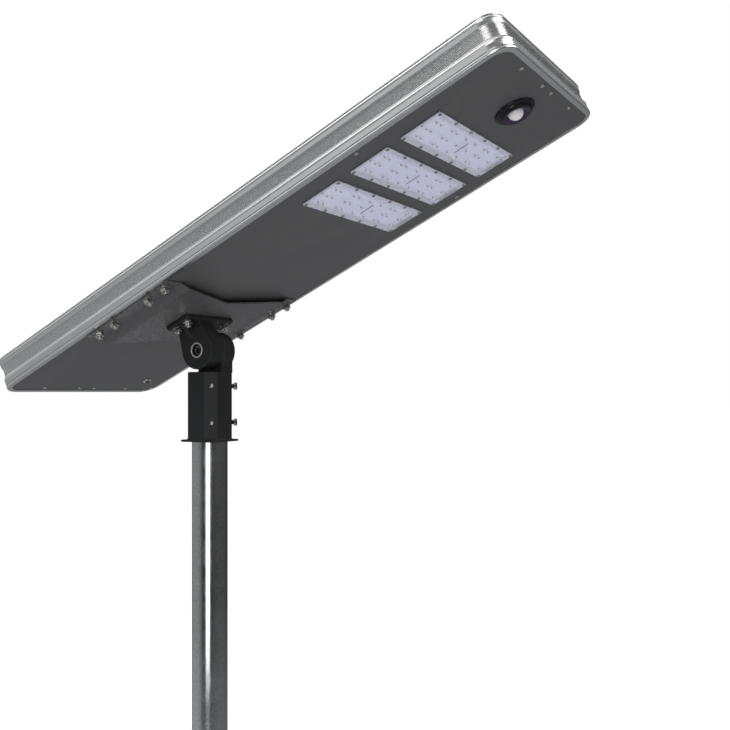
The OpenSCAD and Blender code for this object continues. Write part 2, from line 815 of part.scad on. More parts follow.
module battery_cells() {
    cap_r = bat_cell_d * 0.2;
    color("royalblue") on_head() at_battery() at_battery_cells() rotate([90, 0, 0]) {
        translate([0, 0, -bat_cell_l / 2]) cylinder(h = bat_cell_l - 1, r = bat_cell_d / 2);
        translate([0, 0, bat_cell_l / 2 - 1]) cylinder(h = 1, r = cap_r);
    }
}

module cell_holders() {
    hold_y = bat_cell_l / 2 - 12;
    color([0.15, 0.15, 0.15]) on_head() at_battery() for (side = [-1, 1], end = [-1, 1])
        translate([0, side * battery_y() + end * hold_y, z_bat]) rotate([90, 0, 0]) difference() {
            cube([bat_columns * bat_pitch, holder_h, holder_t], center = true);
            for (i = [0:bat_columns - 1])
                translate([(i - (bat_columns - 1) / 2) * bat_pitch, 0, -holder_t])
                    cylinder(h = 2 * holder_t, r = bat_cell_d / 2 + holder_clear);
        }
}

module at_straps() {
    for (side = [-1, 1]) at_battery() translate([side * tray_l / 4, 0, 0]) children();
}

// strap over the holders, down each side of the tray and out over its flange
module battery_straps() {
    outer = tray_w / 2 + strap_t;
    foot = tray_w / 2 + tray_flange;
    low = z_floor + tray_t;
    color("silver") on_head() at_straps() translate([-strap_w / 2, 0, 0]) difference() {
        rotate([90, 0, 90]) linear_extrude(strap_w) polygon([
            [-foot, low], [-outer + strap_t, low], [-outer + strap_t, z_strap], [outer - strap_t, z_strap],
            [outer - strap_t, low], [foot, low], [foot, low + strap_t], [outer, low + strap_t],
            [outer, z_strap + strap_t], [-outer, z_strap + strap_t], [-outer, low + strap_t],
            [-foot, low + strap_t]
        ]);
        for (side = [-1, 1])
            translate([strap_w / 2, side * (tray_w / 2 + 8), low - 1]) cylinder(h = 4, r = screw_r + 0.2);
    }
}

module strap_screws() {
    top = z_floor + tray_t + strap_t;
    color("gainsboro") on_head() at_straps() for (side = [-1, 1])
        translate([0, side * (tray_w / 2 + 8), top]) mirror([0, 0, 1])
            cross_screw(screw_head_r, screw_head_h, screw_r, strap_t);
}

module controller_case() {
    color("darkgray") on_head() translate([control_x - control_l / 2, -control_w / 2, z_floor]) difference() {
        union() {
            cube([control_l, control_w, control_h]);
            for (y = [-12, control_w]) translate([0, y, 0]) cube([control_l, 12, control_wall]);
        }
        translate([control_wall, control_wall, -1])
            cube([control_l - 2 * control_wall, control_w - 2 * control_wall, control_h - control_wall + 1]);
        for (k = [1:7])
            translate([k * control_l / 8 - 1.5, -1, control_h - 1]) cube([3, control_w + 2, 2]);
    }
}

// circuit board with its coils, capacitors and power transistors, standing on four posts
module controller_board() {
    play = 1;
    board = [control_l - 2 * control_wall - 2 * play, control_w - 2 * control_wall - 2 * play, 1.6];
    post_h = 4;
    color("darkgreen") on_head() translate([control_x, 0, z_floor + post_h]) {
        translate([-board[0] / 2, -board[1] / 2, 0]) cube(board);
        for (sx = [-1, 1], sy = [-1, 1])
            translate([sx * (board[0] / 2 - 6), sy * (board[1] / 2 - 6), -post_h]) cylinder(h = post_h, r = 3);
        for (k = [-1, 0, 1]) translate([k * 28, -20, board[2]]) cylinder(h = 12, r = 8);
        for (k = [-1, 1]) translate([k * 20, 20, board[2] + 5]) cube([18, 16, 10], center = true);
    }
}

// one straight run of the loom between two points, with a ball at its far end
module loom_run(a, b) {
    d = b - a;
    along = norm(d);
    translate(a) rotate([0, acos(d[2] / along), atan2(d[1], d[0])]) cylinder(h = along, r = loom_r, $fn = 24);
}

module loom(points) {
    for (k = [0:len(points) - 2]) loom_run(points[k], points[k + 1]);
    for (k = [1:1:len(points) - 2]) translate(points[k]) sphere(loom_r, $fn = 24);
}

module wiring_loom() {
    front = control_x + control_l / 2;
    rear = control_x - control_l / 2;
    tray_front = -battery_back + tray_l / 2;
    sensor_top = z_sheet + neck_h;
    spreader_top = z_floor + spreader_t;
    top_run = z_strap + strap_t + loom_r + 0.3;
    jbox_front = jbox_x + jbox_l;
    last = led_first + (led_count - 1) * led_pitch;
    button_top = z_sheet + button_barrel_h;
    tray_side = tray_w / 2;
    tray_mid = z_tray + 14;
    color([0.7, 0.1, 0.1]) on_head() {
        union() {
            loom([[front, 0, z_loom], [sensor_x, 0, z_loom], [sensor_x, 0, sensor_top]]);
            for (i = [0:led_count - 1])
                loom_run([led_first + i * led_pitch, 0, z_loom], [led_first + i * led_pitch, 0, spreader_top]);
        }
        loom([[tray_front, 20, tray_mid], [rear, 20, tray_mid]]);
        loom([[jbox_front, 40, top_run], [rear + 15, 40, top_run], [rear + 15, 40, z_floor + control_h]]);
        loom([
            [-button_back, button_y, button_top], [-button_back, button_y, button_top + 8],
            [-battery_back - tray_l / 4 - 24, button_y, button_top + 8],
            [-battery_back - tray_l / 4 - 24, tray_side, button_top + 8]
        ]);
    }
}

// ---------- bracket ----------

module bracket() {
    low = z_plate;
    t = bracket_t;
    color([0.2, 0.2, 0.22]) on_head() difference() {
        translate([-bracket_l / 2, 0, 0]) rotate([90, 0, 90]) linear_extrude(bracket_l) polygon([
            [-foot_y, z_sheet], [-foot_in, z_sheet], [-web_in + 1, low + t], [web_in - 1, low + t],
            [foot_in, z_sheet], [foot_y, z_sheet], [foot_y, z_sheet - t], [foot_in + 1, z_sheet - t],
            [web_in, low], [-web_in, low], [-foot_in - 1, z_sheet - t], [-foot_y, z_sheet - t]
        ]);
        for (side = [-1, 1])
            translate([0, 0, low - 1]) linear_extrude(t + 2) polygon([
                [side * (bracket_l / 2 - notch), 0], [side * (bracket_l / 2 + 1), web_in],
                [side * (bracket_l / 2 + 1), -web_in]
            ]);
        translate([0, 0, foot_z - 1]) at_foot_bolts() cylinder(h = t + 2, r = hole_r);
        translate([0, 0, low - 1]) at_flange_bolts() cylinder(h = t + 2, r = hole_r);
    }
}

// bolt with its head up and its thread pointing down
module hex_bolt(under, reach) {
    translate([0, 0, under]) hexagon(hex_af, hex_head_h);
    translate([0, 0, under - reach]) cylinder(h = reach + eps, r = bolt_r);
}

foot_stack = ledge_top - foot_z + washer_t + nut_h;
flange_stack = bracket_t + flange_t + washer_t + nut_h;

module foot_bolts() {
    color("gainsboro") on_head() at_foot_bolts() hex_bolt(ledge_top, foot_stack + thread_out);
}

module foot_washers() {
    color("gainsboro") on_head() translate([0, 0, foot_z - washer_t]) at_foot_bolts()
        tube(washer_r, bolt_r, washer_t);
}

module hex_nut() {
    difference() {
        hexagon(hex_af, nut_h);
        translate([0, 0, -1]) cylinder(h = nut_h + 2, r = bolt_r);
    }
}

module foot_nuts() {
    color("gainsboro") on_head() translate([0, 0, foot_z - washer_t - nut_h]) at_foot_bolts() hex_nut();
}

// ---------- knuckle ----------

module flange_bolts() {
    color("gainsboro") on_head() at_flange_bolts() hex_bolt(z_plate + bracket_t, flange_stack + thread_out);
}

module flange_washers() {
    color("gainsboro") on_head() translate([0, 0, z_flange - washer_t]) at_flange_bolts()
        tube(washer_r, bolt_r, washer_t);
}

module flange_nuts() {
    color("gainsboro") on_head() translate([0, 0, z_flange - washer_t - nut_h]) at_flange_bolts() hex_nut();
}

// radial grooves cut into a face at y = 0, on the side that y > 0
module serration_cut() {
    step = 360 / teeth;
    half = teeth_r * tan(step / 2) * 0.8;
    rotate([90, 0, 0]) intersection() {
        translate([0, 0, -tooth_h - 1]) tube(teeth_r, recess_r, tooth_h + 2);
        for (k = [0:teeth - 1])
            rotate([0, 0, k * step]) rotate([90, 0, 90])
                linear_extrude(teeth_r) polygon([[-half, eps], [0, -tooth_h], [half, eps]]);
    }
}

// upper half of the knuckle, on the -Y side, hanging from its flange
module knuckle_upper() {
    inner = -knuckle_gap / 2;
    color([0.09, 0.09, 0.1]) on_head() difference() {
        union() {
            translate([0, 0, z_flange]) rounded_plate(flange_l, flange_w, flange_t, 4);
            translate([0, inner, 0]) rotate([90, 0, 0]) linear_extrude(upper_w) {
                circle(knuckle_r, $fn = 96);
                polygon([
                    [-lug_half, z_flange + 1], [lug_half, z_flange + 1], [knuckle_r * cos(8), knuckle_r * sin(8)],
                    [-knuckle_r * cos(8), knuckle_r * sin(8)]
                ]);
            }
            translate([-rib_t / 2, 0, 0]) rotate([90, 0, 90]) linear_extrude(rib_t) polygon([
                [inner - upper_w + 1, z_flange + 1], [inner - upper_w - rib_reach, z_flange + 1],
                [inner - upper_w + 1, knuckle_r * 0.7]
            ]);
        }
        translate([0, inner - upper_w - 1, 0]) rotate([-90, 0, 0]) cylinder(h = recess_h + 1, r = recess_r);
        translate([0, inner + 1, 0]) rotate([90, 0, 0]) cylinder(h = upper_w + 1, r = pivot_r + pivot_clear);
        translate([0, inner, 0]) mirror([0, 1, 0]) serration_cut();
        translate([0, 0, z_flange - 1]) at_flange_bolts() cylinder(h = flange_t + 2, r = hole_r);
    }
}

module pivot_ring() {
    color("white") on_head() translate([0, -knuckle_gap / 2 - upper_w, 0]) rotate([-90, 0, 0])
        tube(recess_r, ring_in, ring_h);
}

// octagonal sleeve with the lower half of the knuckle on top, on the +Y side
module pole_sleeve() {
    c = sleeve_half - sleeve_chamfer;
    s = sleeve_half;
    inner = knuckle_gap / 2;
    lug = sleeve_half - 6;
    color([0.12, 0.12, 0.13]) difference() {
        union() {
            translate([0, 0, z_sleeve]) linear_extrude(sleeve_h)
                polygon([[s, -c], [s, c], [c, s], [-c, s], [-s, c], [-s, -c], [-c, -s], [c, -s]]);
            translate([0, 0, z_sleeve + collar_h / 2])
                cube([2 * s + 2 * collar_out, 2 * s + 2 * collar_out, collar_h], center = true);
            translate([0, inner, hinge_h]) rotate([-90, 0, 0]) cylinder(h = knuckle_w, r = knuckle_r, $fn = 96);
            translate([-lug, inner, z_cap - 1]) cube([2 * lug, knuckle_w, sleeve_drop - knuckle_r * 0.5]);
        }
        translate([0, 0, z_sleeve - 1]) cylinder(h = sleeve_h - cap_t + 1, r = bore_r);
        translate([0, inner + knuckle_w + 1, hinge_h]) rotate([90, 0, 0])
            cylinder(h = recess_h + 1, r = recess_r);
        translate([0, -1, hinge_h]) rotate([-90, 0, 0]) cylinder(h = knuckle_w + 2, r = pivot_r + pivot_clear);
        translate([0, inner, hinge_h]) serration_cut();
        at_clamps() translate([0, 0, bore_r - 4]) cylinder(h = 20, r = bolt_r);
    }
}

// pivot bolt from the -Y side: socket head sunk in the upper half, nut sunk in the lower half
module pivot_bolt() {
    seat_y = -knuckle_gap / 2 - upper_w + recess_h - pivot_head_gap;
    far = knuckle_gap / 2 + knuckle_w - recess_h + washer_t + pivot_nut_h + 1;
    color([0.15, 0.15, 0.15]) translate([0, 0, hinge_h]) rotate([-90, 0, 0]) difference() {
        union() {
            translate([0, 0, seat_y - pivot_head_h]) cylinder(h = pivot_head_h, r = pivot_head_r);
            translate([0, 0, seat_y - eps]) cylinder(h = far - seat_y, r = pivot_r);
        }
        translate([0, 0, seat_y - pivot_head_h - 1]) hexagon(10, pivot_head_h - 1);
    }
}

module pivot_washer() {
    color("gainsboro") translate([0, knuckle_gap / 2 + knuckle_w - recess_h, hinge_h]) rotate([-90, 0, 0])
        tube(recess_r - 0.5, pivot_r, washer_t);
}

module pivot_nut() {
    color("gainsboro") translate([0, knuckle_gap / 2 + knuckle_w - recess_h + washer_t, hinge_h])
        rotate([-90, 0, 0]) difference() {
            hexagon(pivot_af, pivot_nut_h);
            translate([0, 0, -1]) cylinder(h = pivot_nut_h + 2, r = pivot_r);
        }
}

module at_clamps() {
    for (a = [45, 315], d = [screw_top, screw_low])
        translate([0, 0, z_cap - d]) rotate([0, 90, a]) children();
}

// socket-head screws through the two front corners of the sleeve
module clamp_screws() {
    head = chamfer_face + clamp_off;
    color("gainsboro") at_clamps() difference() {
        union() {
            translate([0, 0, clamp_tip]) cylinder(h = head - clamp_tip + eps, r = bolt_r);
            translate([0, 0, head]) cylinder(h = clamp_head_h, r = clamp_head_r);
        }
        translate([0, 0, head + clamp_head_h - 4]) hexagon(6, 5);
    }
}

// ---------- pole ----------

module pole_tube() {
    color("silver") translate([0, 0, base_t]) tube(pole_r, pole_r - pole_t, pole_top - base_t);
}

module base_plate() {
    color("silver") difference() {
        rounded_plate(base_w, base_w, base_t, base_corner);
        for (x = [-1, 1], y = [-1, 1])
            translate([x * base_pitch / 2, y * base_pitch / 2, -1]) cylinder(h = base_t + 2, r = base_hole_r);
    }
}

module base_gussets() {
    color("silver") {
        for (a = [0, 90, 180, 270])
            rotate([0, 0, a]) translate([pole_r, gusset_t / 2, base_t]) rotate([90, 0, 0])
                linear_extrude(gusset_t) polygon([
                    [0, 0], [gusset_l, 0], [gusset_l, 8], [6, gusset_h], [0, gusset_h]
                ]);
        difference() {
            translate([0, 0, base_t]) rotate_extrude() polygon([[pole_r, 0], [pole_r + weld, 0], [pole_r, weld]]);
            for (a = [0, 90])
                rotate([0, 0, a]) translate([0, 0, base_t + weld / 2])
                    cube([4 * pole_r, gusset_t, weld + 2], center = true);
        }
    }
}

frame_rail();
frame_splice();
solar_glass();
solar_cells();
cell_ribbons();
backsheet();
laminate_seal();
junction_box();
bottom_panel();
panel_screws();
led_lens(1);  // led_lens_1
led_lens(2);  // led_lens_2
led_lens(3);  // led_lens_3
lens_gasket(1);  // lens_gasket_1
lens_gasket(2);  // lens_gasket_2
lens_gasket(3);  // lens_gasket_3
led_board(1);  // led_board_1
led_board(2);  // led_board_2
led_board(3);  // led_board_3
heat_spreader(1);  // heat_spreader_1
heat_spreader(2);  // heat_spreader_2
heat_spreader(3);  // heat_spreader_3
lens_screws();
sensor_bezel();
sensor_dome();
sensor_board();
sensor_nut();
button_barrel();
button_nut();
button_cap();
battery_tray();
battery_cells();
cell_holders();
battery_straps();
strap_screws();
controller_case();
controller_board();
wiring_loom();
bracket();
foot_bolts();
foot_washers();
foot_nuts();
knuckle_upper();
flange_bolts();
flange_washers();
flange_nuts();
pivot_ring();
pole_sleeve();
pivot_bolt();
pivot_washer();
pivot_nut();
clamp_screws();
pole_tube();
base_plate();
base_gussets();
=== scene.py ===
"""Solar street lamp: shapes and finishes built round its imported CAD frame, laid out as an add-on."""
import json
import math
import random

import bmesh
import bpy
from bpy.props import FloatProperty, FloatVectorProperty, PointerProperty
from bpy.types import Operator, Panel, PropertyGroup
from mathutils import Matrix, Vector

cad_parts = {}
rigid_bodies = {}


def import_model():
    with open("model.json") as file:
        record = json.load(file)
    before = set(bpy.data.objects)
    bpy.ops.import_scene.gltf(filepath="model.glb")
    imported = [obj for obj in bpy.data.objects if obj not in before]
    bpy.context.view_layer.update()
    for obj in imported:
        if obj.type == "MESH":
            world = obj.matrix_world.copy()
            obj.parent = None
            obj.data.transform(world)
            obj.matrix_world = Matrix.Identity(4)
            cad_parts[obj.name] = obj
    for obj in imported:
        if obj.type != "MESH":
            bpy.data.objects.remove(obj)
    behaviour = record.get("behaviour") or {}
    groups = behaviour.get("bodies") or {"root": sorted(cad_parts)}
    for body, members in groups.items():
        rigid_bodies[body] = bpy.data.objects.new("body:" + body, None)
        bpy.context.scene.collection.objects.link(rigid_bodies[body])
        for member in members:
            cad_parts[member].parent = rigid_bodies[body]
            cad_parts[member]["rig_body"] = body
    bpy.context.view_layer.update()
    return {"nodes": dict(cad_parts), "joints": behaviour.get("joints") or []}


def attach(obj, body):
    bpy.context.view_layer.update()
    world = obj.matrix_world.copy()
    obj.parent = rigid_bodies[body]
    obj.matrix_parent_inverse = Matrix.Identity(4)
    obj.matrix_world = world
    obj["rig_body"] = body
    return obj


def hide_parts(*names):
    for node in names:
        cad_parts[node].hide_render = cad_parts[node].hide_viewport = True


bl_info = {
    "name": "Solar Street Lamp",
    "version": (1, 0, 0),
    "blender": (4, 5, 0),
    "location": "3D View > Sidebar > Street Lamp",
    "description": "Builds the shapes and finishes of a solar street lamp round its packed frame",
    "category": "Object",
}

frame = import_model()

MM = 0.001
TAU = 2 * math.pi
SHARP = math.radians(38)


# ---------- what the frame says ----------

def joint(name):
    return next(j for j in frame["joints"] if j["name"] == name)


def head_axes():
    """Axes of the level head: X forward, Y to its left, Z out of its solar face, from the hinge."""
    up = Vector(joint("button_push")["axis"])
    forward = Vector((up.z, 0, -up.x))
    turn = Matrix((forward, (0, 1, 0), up)).transposed()
    return Matrix.Translation(joint("head_tilt")["pos_m"]) @ turn.to_4x4()


WORLD = Matrix.Identity(4)
HEAD = head_axes()
HINGE = HEAD.translation


def corners(points):
    points = list(points)
    low = Vector([min(p[i] for p in points) for i in range(3)])
    high = Vector([max(p[i] for p in points) for i in range(3)])
    return low, high


def cad_mesh(node, place):
    """A welded copy of a CAD node's mesh, in the axes of place."""
    bm = bmesh.new()
    bm.from_mesh(frame["nodes"][node].data)
    bmesh.ops.remove_doubles(bm, verts=bm.verts, dist=0.002 * MM)
    bm.transform(place.inverted())
    return bm


def node_box(node, place=HEAD):
    """Lowest and highest corners of a CAD node in the axes of place."""
    return corners(place.inverted() @ v.co for v in frame["nodes"][node].data.vertices)


def solids(node, place=HEAD):
    """Corners of each separate solid of a CAD node in the axes of place, in a fixed order."""
    bm = cad_mesh(node, place)
    left = {v.index for v in bm.verts}
    bm.verts.ensure_lookup_table()
    found = []
    while left:
        group = [min(left)]
        left.discard(group[0])
        for index in group:
            for edge in bm.verts[index].link_edges:
                other = edge.other_vert(bm.verts[index]).index
                if other in left:
                    left.discard(other)
                    group.append(other)
        found.append(corners(bm.verts[i].co.copy() for i in group))
    bm.free()
    return sorted(found, key=lambda box: tuple(round(c, 5) for c in box[0]))


def middle(box):
    return (box[0] + box[1]) / 2


# ---------- mesh tools ----------

def put(name, bm, place, body, slot, *replaced, look=None, flat=False):
    """Makes a piece of bm, which is drawn in the axes of place, and fastens it to its body.

    Its finish has the slot's name unless look gives another. flat keeps the shading of wide flat
    faces clean right up to their rounded edges."""
    bmesh.ops.recalc_face_normals(bm, faces=bm.faces)
    mesh = bpy.data.meshes.new(name)
    bm.to_mesh(mesh)
    bm.free()
    mesh.shade_smooth()
    mesh.set_sharp_from_angle(angle=SHARP)
    mesh.materials.append(material(look or slot))
    piece = bpy.data.objects.new(name, mesh)
    bpy.context.scene.collection.objects.link(piece)
    piece.matrix_world = place
    if flat:
        weighted = piece.modifiers.new("flat faces", "WEIGHTED_NORMAL")
        weighted.keep_sharp = True
        weighted.weight = 100
    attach(piece, body)
    if replaced:
        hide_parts(*replaced)
    return piece


def dress(look, *names):
    """Gives CAD nodes a finish, without touching their shape."""
    for name in names:
        for slot in frame["nodes"][name].material_slots:
            slot.material = material(look)


def join_loops(bm, loops, closed=False, caps=True):
    """Joins loops of points that have the same count into one skin."""
    rings = [[bm.verts.new(p) for p in loop] for loop in loops]
    pairs = list(zip(rings, rings[1:]))
    if closed:
        pairs.append((rings[-1], rings[0]))
    for low, high in pairs:
        for k in range(len(low)):
            bm.faces.new((low[k - 1], low[k], high[k], high[k - 1]))
    if caps and not closed:
        bm.faces.new(rings[0])
        bm.faces.new(rings[-1])


def add_turned(bm, rings, steps=48, place=WORLD, closed=False):
    """Adds a turned solid. A ring is (radius, height), and a radius may be a function of the angle."""
    loops = []
    for radius, height in rings:
        loop = []
        for k in range(steps):
            angle = TAU * k / steps
            reach = radius(angle) if callable(radius) else radius
            loop.append(place @ Vector((reach * math.cos(angle), reach * math.sin(angle), height)))
        loops.append(loop)
    join_loops(bm, loops, closed=closed)


def turned(rings, steps=48, closed=False):
    bm = bmesh.new()
    add_turned(bm, rings, steps, WORLD, closed)
    return bm


def as_mesh(bm, name="template"):
    bmesh.ops.recalc_face_normals(bm, faces=bm.faces)
    mesh = bpy.data.meshes.new(name)
    bm.to_mesh(mesh)
    bm.free()
    return mesh


def repeated(template, places):
    """A mesh with one copy of the template at each place."""
    bm = bmesh.new()
    for place in places:
        copy = template.copy()
        copy.transform(place)
        bm.from_mesh(copy)
        bpy.data.meshes.remove(copy)
    bpy.data.meshes.remove(template)
    return bm


def eased(start, corner, end, steps):
    """Points of a curve from start to end that is drawn toward a corner."""
    shares = [step / steps for step in range(steps + 1)]
    return [start * (1 - t) ** 2 + corner * 2 * t * (1 - t) + end * t * t for t in shares]


def fillet(points, radius, steps=3):
    """Rounds the corners of a closed outline."""
    out = []
    for k, point in enumerate(points):
        here = Vector(point)
        before = Vector(points[k - 1]) - here
        after = Vector(points[(k + 1) % len(points)]) - here
        start = here + before.normalized() * min(radius, before.length * 0.45)
        end = here + after.normalized() * min(radius, after.length * 0.45)
        out += eased(start, here, end, steps)
    return out


def round_box(length, width, corner, steps=8):
    """Outline of a rectangle with round corners, anticlockwise."""
    points = []
    for quarter, (sx, sy) in enumerate(((1, 1), (-1, 1), (-1, -1), (1, -1))):
        for k in range(steps + 1):
            angle = (quarter + k / steps) * TAU / 4
            points.append((
                sx * (length / 2 - corner) + corner * math.cos(angle),
                sy * (width / 2 - corner) + corner * math.sin(angle),
            ))
    return points


def add_plate(bm, box, corner, edge, axes=WORLD):
    """Adds a plate that fills a box, with round corners and softened edges."""
    size = box[1] - box[0]
    centre = middle(box)
    levels = []
    for k in range(4):
        angle = k * TAU / 12
        levels.append((edge * (1 - math.sin(angle)), edge * (1 - math.cos(angle))))
    below = [(inset, box[0].z + rise) for rise, inset in levels]
    above = [(inset, box[1].z - rise) for rise, inset in reversed(levels)]
    loops = []
    for inset, height in below + above:
        outline = round_box(size.x - 2 * inset, size.y - 2 * inset, max(corner - inset, edge / 4))
        loops.append([axes @ Vector((centre.x + x, centre.y + y, height)) for x, y in outline])
    join_loops(bm, loops)


def through_modifiers(bm, *settings):
    """Runs modifiers over bm. Each is (kind, {property: value})."""
    mesh = as_mesh(bm)
    carrier = bpy.data.objects.new("carrier", mesh)
    bpy.context.scene.collection.objects.link(carrier)
    for kind, values in settings:
        modifier = carrier.modifiers.new(kind, kind)
        for key, value in values.items():
            setattr(modifier, key, value)
    shaped = carrier.evaluated_get(bpy.context.evaluated_depsgraph_get()).to_mesh()
    out = bmesh.new()
    out.from_mesh(shaped)
    bpy.data.objects.remove(carrier)
    bpy.data.meshes.remove(mesh)
    return out


def soft_edges(bm, width, segments=2):
    """Rounds every sharp edge of a machined or cut part."""
    bmesh.ops.dissolve_limit(bm, angle_limit=math.radians(0.5), verts=bm.verts, edges=bm.edges)
    return through_modifiers(bm, ("BEVEL", {
        "width": width, "segments": segments, "limit_method": "ANGLE",
        "angle_limit": math.radians(40), "use_clamp_overlap": False,
    }))


def cast_skin(bm, grain, passes=4):
    """Turns a part into a casting, with fillets inside and out."""
    return through_modifiers(
        bm,
        ("REMESH", {"mode": "VOXEL", "voxel_size": grain}),
        ("SMOOTH", {"factor": 0.6, "iterations": passes}),
    )


def carved(bm, cutter_bm):
    """Cuts one mesh out of another."""
    cutter = bpy.data.objects.new("cutter", as_mesh(cutter_bm))
    bpy.context.scene.collection.objects.link(cutter)
    settings = {"operation": "DIFFERENCE", "solver": "EXACT", "object": cutter}
    out = through_modifiers(bm, ("BOOLEAN", settings))
    bpy.data.objects.remove(cutter)
    return out


# ---------- fasteners ----------

def hexagon(across):
    """Radius of a hexagon, by angle, from its width across flats."""
    def radius(angle):
        return across / 2 / math.cos((angle + TAU / 12) % (TAU / 6) - TAU / 12)
    return radius


def chamfered(across, top):
    """Hexagon whose corners are turned down, from the flats at the end to full corners inside."""
    corner = across / math.sqrt(3)
    flat = across * 0.475
    drop = (corner - flat) * math.tan(TAU / 12)
    rings = []
    for k in range(5):
        share = k / 4
        limit = flat + (corner - flat) * share
        rings.append((limited(hexagon(across), limit), top - drop * share))
    return rings


def limited(shape, limit):
    return lambda angle: min(shape(angle), limit)


def nut_mesh(across, height, bore):
    """Hexagon nut standing on z = 0."""
    up = chamfered(across, height)
    down = [(radius, height - z) for radius, z in up]
    lead = bore * 0.16
    rings = down + up[::-1] + [(bore + lead, height), (bore, height - lead), (bore, lead), (bore + lead, 0)]
    return as_mesh(turned(rings, 72, closed=True))


def washer_mesh(outer, inner, height):
    edge = height * 0.25
    rings = [
        (inner, edge), (inner + edge, 0), (outer - edge, 0), (outer, edge),
        (outer, height - edge), (outer - edge, height), (inner + edge, height), (inner, height - edge),
    ]
    return as_mesh(turned(rings, 48, closed=True))


def threaded(radius, pitch, height):
    """Radius of a screw thread at a height, by angle."""
    def at(angle):
        phase = (height / pitch - angle / TAU) % 1
        return radius - 0.55 * pitch * min(1, max(0, abs(2 * phase - 1) * 1.25 - 0.12))
    return at


def thread_rings(radius, pitch, low, high):
    """Rings of a thread from its lead-in at low up to high."""
    count = max(4, round((high - low) / pitch * 8))
    rings = [(radius - 0.75 * pitch, low)]
    for k in range(count + 1):
        height = low + (high - low) * k / count
        lead = radius - 0.7 * pitch + (height - low)
        rings.append((limited(threaded(radius, pitch, height), lead), height))
    return rings


def hex_bolt_mesh(across, head, radius, reach, pitch, thread):
    """Bolt with its head's under face at z = 0 and its thread pointing down."""
    rings = thread_rings(radius, pitch, -reach, -reach + thread)
    rings += [(radius, -reach + thread + pitch), (radius, 0), (across * 0.475, 0)]
    rings += chamfered(across, head)[::-1]
    return as_mesh(turned(rings, 72))


def socket_screw_mesh(head_r, head_h, socket, radius, reach, pitch, knurls=0):
    """Cap screw with its head's under face at z = 0, its head up and its thread down."""
    edge = head_r * 0.1

    def knurled(angle):
        return head_r - 0.035 * head_r * (1 + math.cos(knurls * angle)) if knurls else head_r

    rings = thread_rings(radius, pitch, -reach, -0.4 * MM)
    rings += [
        (radius, 0), (head_r - edge, 0), (knurled, edge), (knurled, head_h - 1.6 * edge),
        (head_r - 0.6 * edge, head_h - 0.5 * edge), (head_r - 1.6 * edge, head_h), (socket * 0.62, head_h),
        (hexagon(socket), head_h - socket * 0.06), (hexagon(socket), head_h * 0.4),
        (socket * 0.2, head_h * 0.3),
    ]
    return as_mesh(turned(rings, 96 if knurls else 72))


def cross_screw_mesh(head_r, head_h, radius, reach):
    """Pan-head screw with a cross recess, its head up from z = 0 and its shank down."""
    rings = [(radius * 0.7, -reach), (radius, -reach + radius * 0.4), (radius, 0), (head_r * 0.97, 0)]
    rings.append((head_r, head_h * 0.12))
    for k in range(7):
        angle = k * TAU / 28
        rings.append((head_r * (0.35 + 0.65 * math.cos(angle)), head_h * (0.3 + 0.7 * math.sin(angle))))
    screw = turned(rings, 36)
    slot = head_r * 0.26
    arm = head_r * 0.62
    recess = (Vector((-arm, -slot / 2, head_h * 0.35)), Vector((arm, slot / 2, head_h * 1.5)))
    for turn in (0, TAU / 4):
        cutter = bmesh.new()
        add_plate(cutter, recess, slot * 0.3, slot * 0.08, Matrix.Rotation(turn, 4, "Z"))
        screw = carved(screw, cutter)
    return as_mesh(screw)


def upright(x, y, z, turn=0.0, flip=False):
    """Place for a fastener: at a point, turned on its axis, and upside down with flip."""
    place = Matrix.Translation((x, y, z)) @ Matrix.Rotation(turn, 4, "Z")
    return place @ Matrix.Rotation(math.pi, 4, "X") if flip else place


# ---------- node tools ----------

VALUE = "NodeSocketFloat"
VECTOR = "NodeSocketVector"
COLOUR = "NodeSocketColor"
MID_GREY = (0.5, 0.5, 0.5, 1)


def node(tree, kind, sockets=None, **settings):
    """Adds a node. A socket's value may be another node's output, and is then linked."""
    made = tree.nodes.new(kind)
    for key, value in settings.items():
        setattr(made, key, value)
    for key, value in (sockets or {}).items():
        if isinstance(value, bpy.types.NodeSocket):
            tree.links.new(value, made.inputs[key])
        else:
            made.inputs[key].default_value = value
    return made


def maths(tree, operation, *values, clamp=False):
    made = node(tree, "ShaderNodeMath", dict(enumerate(values)), operation=operation, use_clamp=clamp)
    return made.outputs[0]


def object_place(tree):
    return node(tree, "ShaderNodeTexCoord").outputs["Object"]


def noise(tree, where, scale, detail):
    made = node(tree, "ShaderNodeTexNoise", {"Vector": where, "Scale": scale, "Detail": detail})
    return made.outputs["Fac"]


def geometry(tree, output):
    return node(tree, "ShaderNodeNewGeometry").outputs[output]


def blend_colour(tree, share, first, second, mode="MIX"):
    made = node(tree, "ShaderNodeMix", {0: share, 6: first, 7: second}, data_type="RGBA", blend_type=mode)
    return made.outputs[2]


def between(tree, value, low, high, to_low=0.0, to_high=1.0):
    return node(tree, "ShaderNodeMapRange", {
        "Value": value, "From Min": low, "From Max": high, "To Min": to_low, "To Max": to_high,
    }).outputs[0]


def start_group(name, inputs, outputs):
    """An empty node group with named sockets: (name, kind, default) and (name, kind)."""
    group = bpy.data.node_groups.new(name, "ShaderNodeTree")
    for label, kind, value in inputs:
        socket = group.interface.new_socket(name=label, in_out="INPUT", socket_type=kind)
        socket.default_value = value
    for label, kind in outputs:
        group.interface.new_socket(name=label, in_out="OUTPUT", socket_type=kind)
    return group, group.nodes.new("NodeGroupInput").outputs, group.nodes.new("NodeGroupOutput").inputs


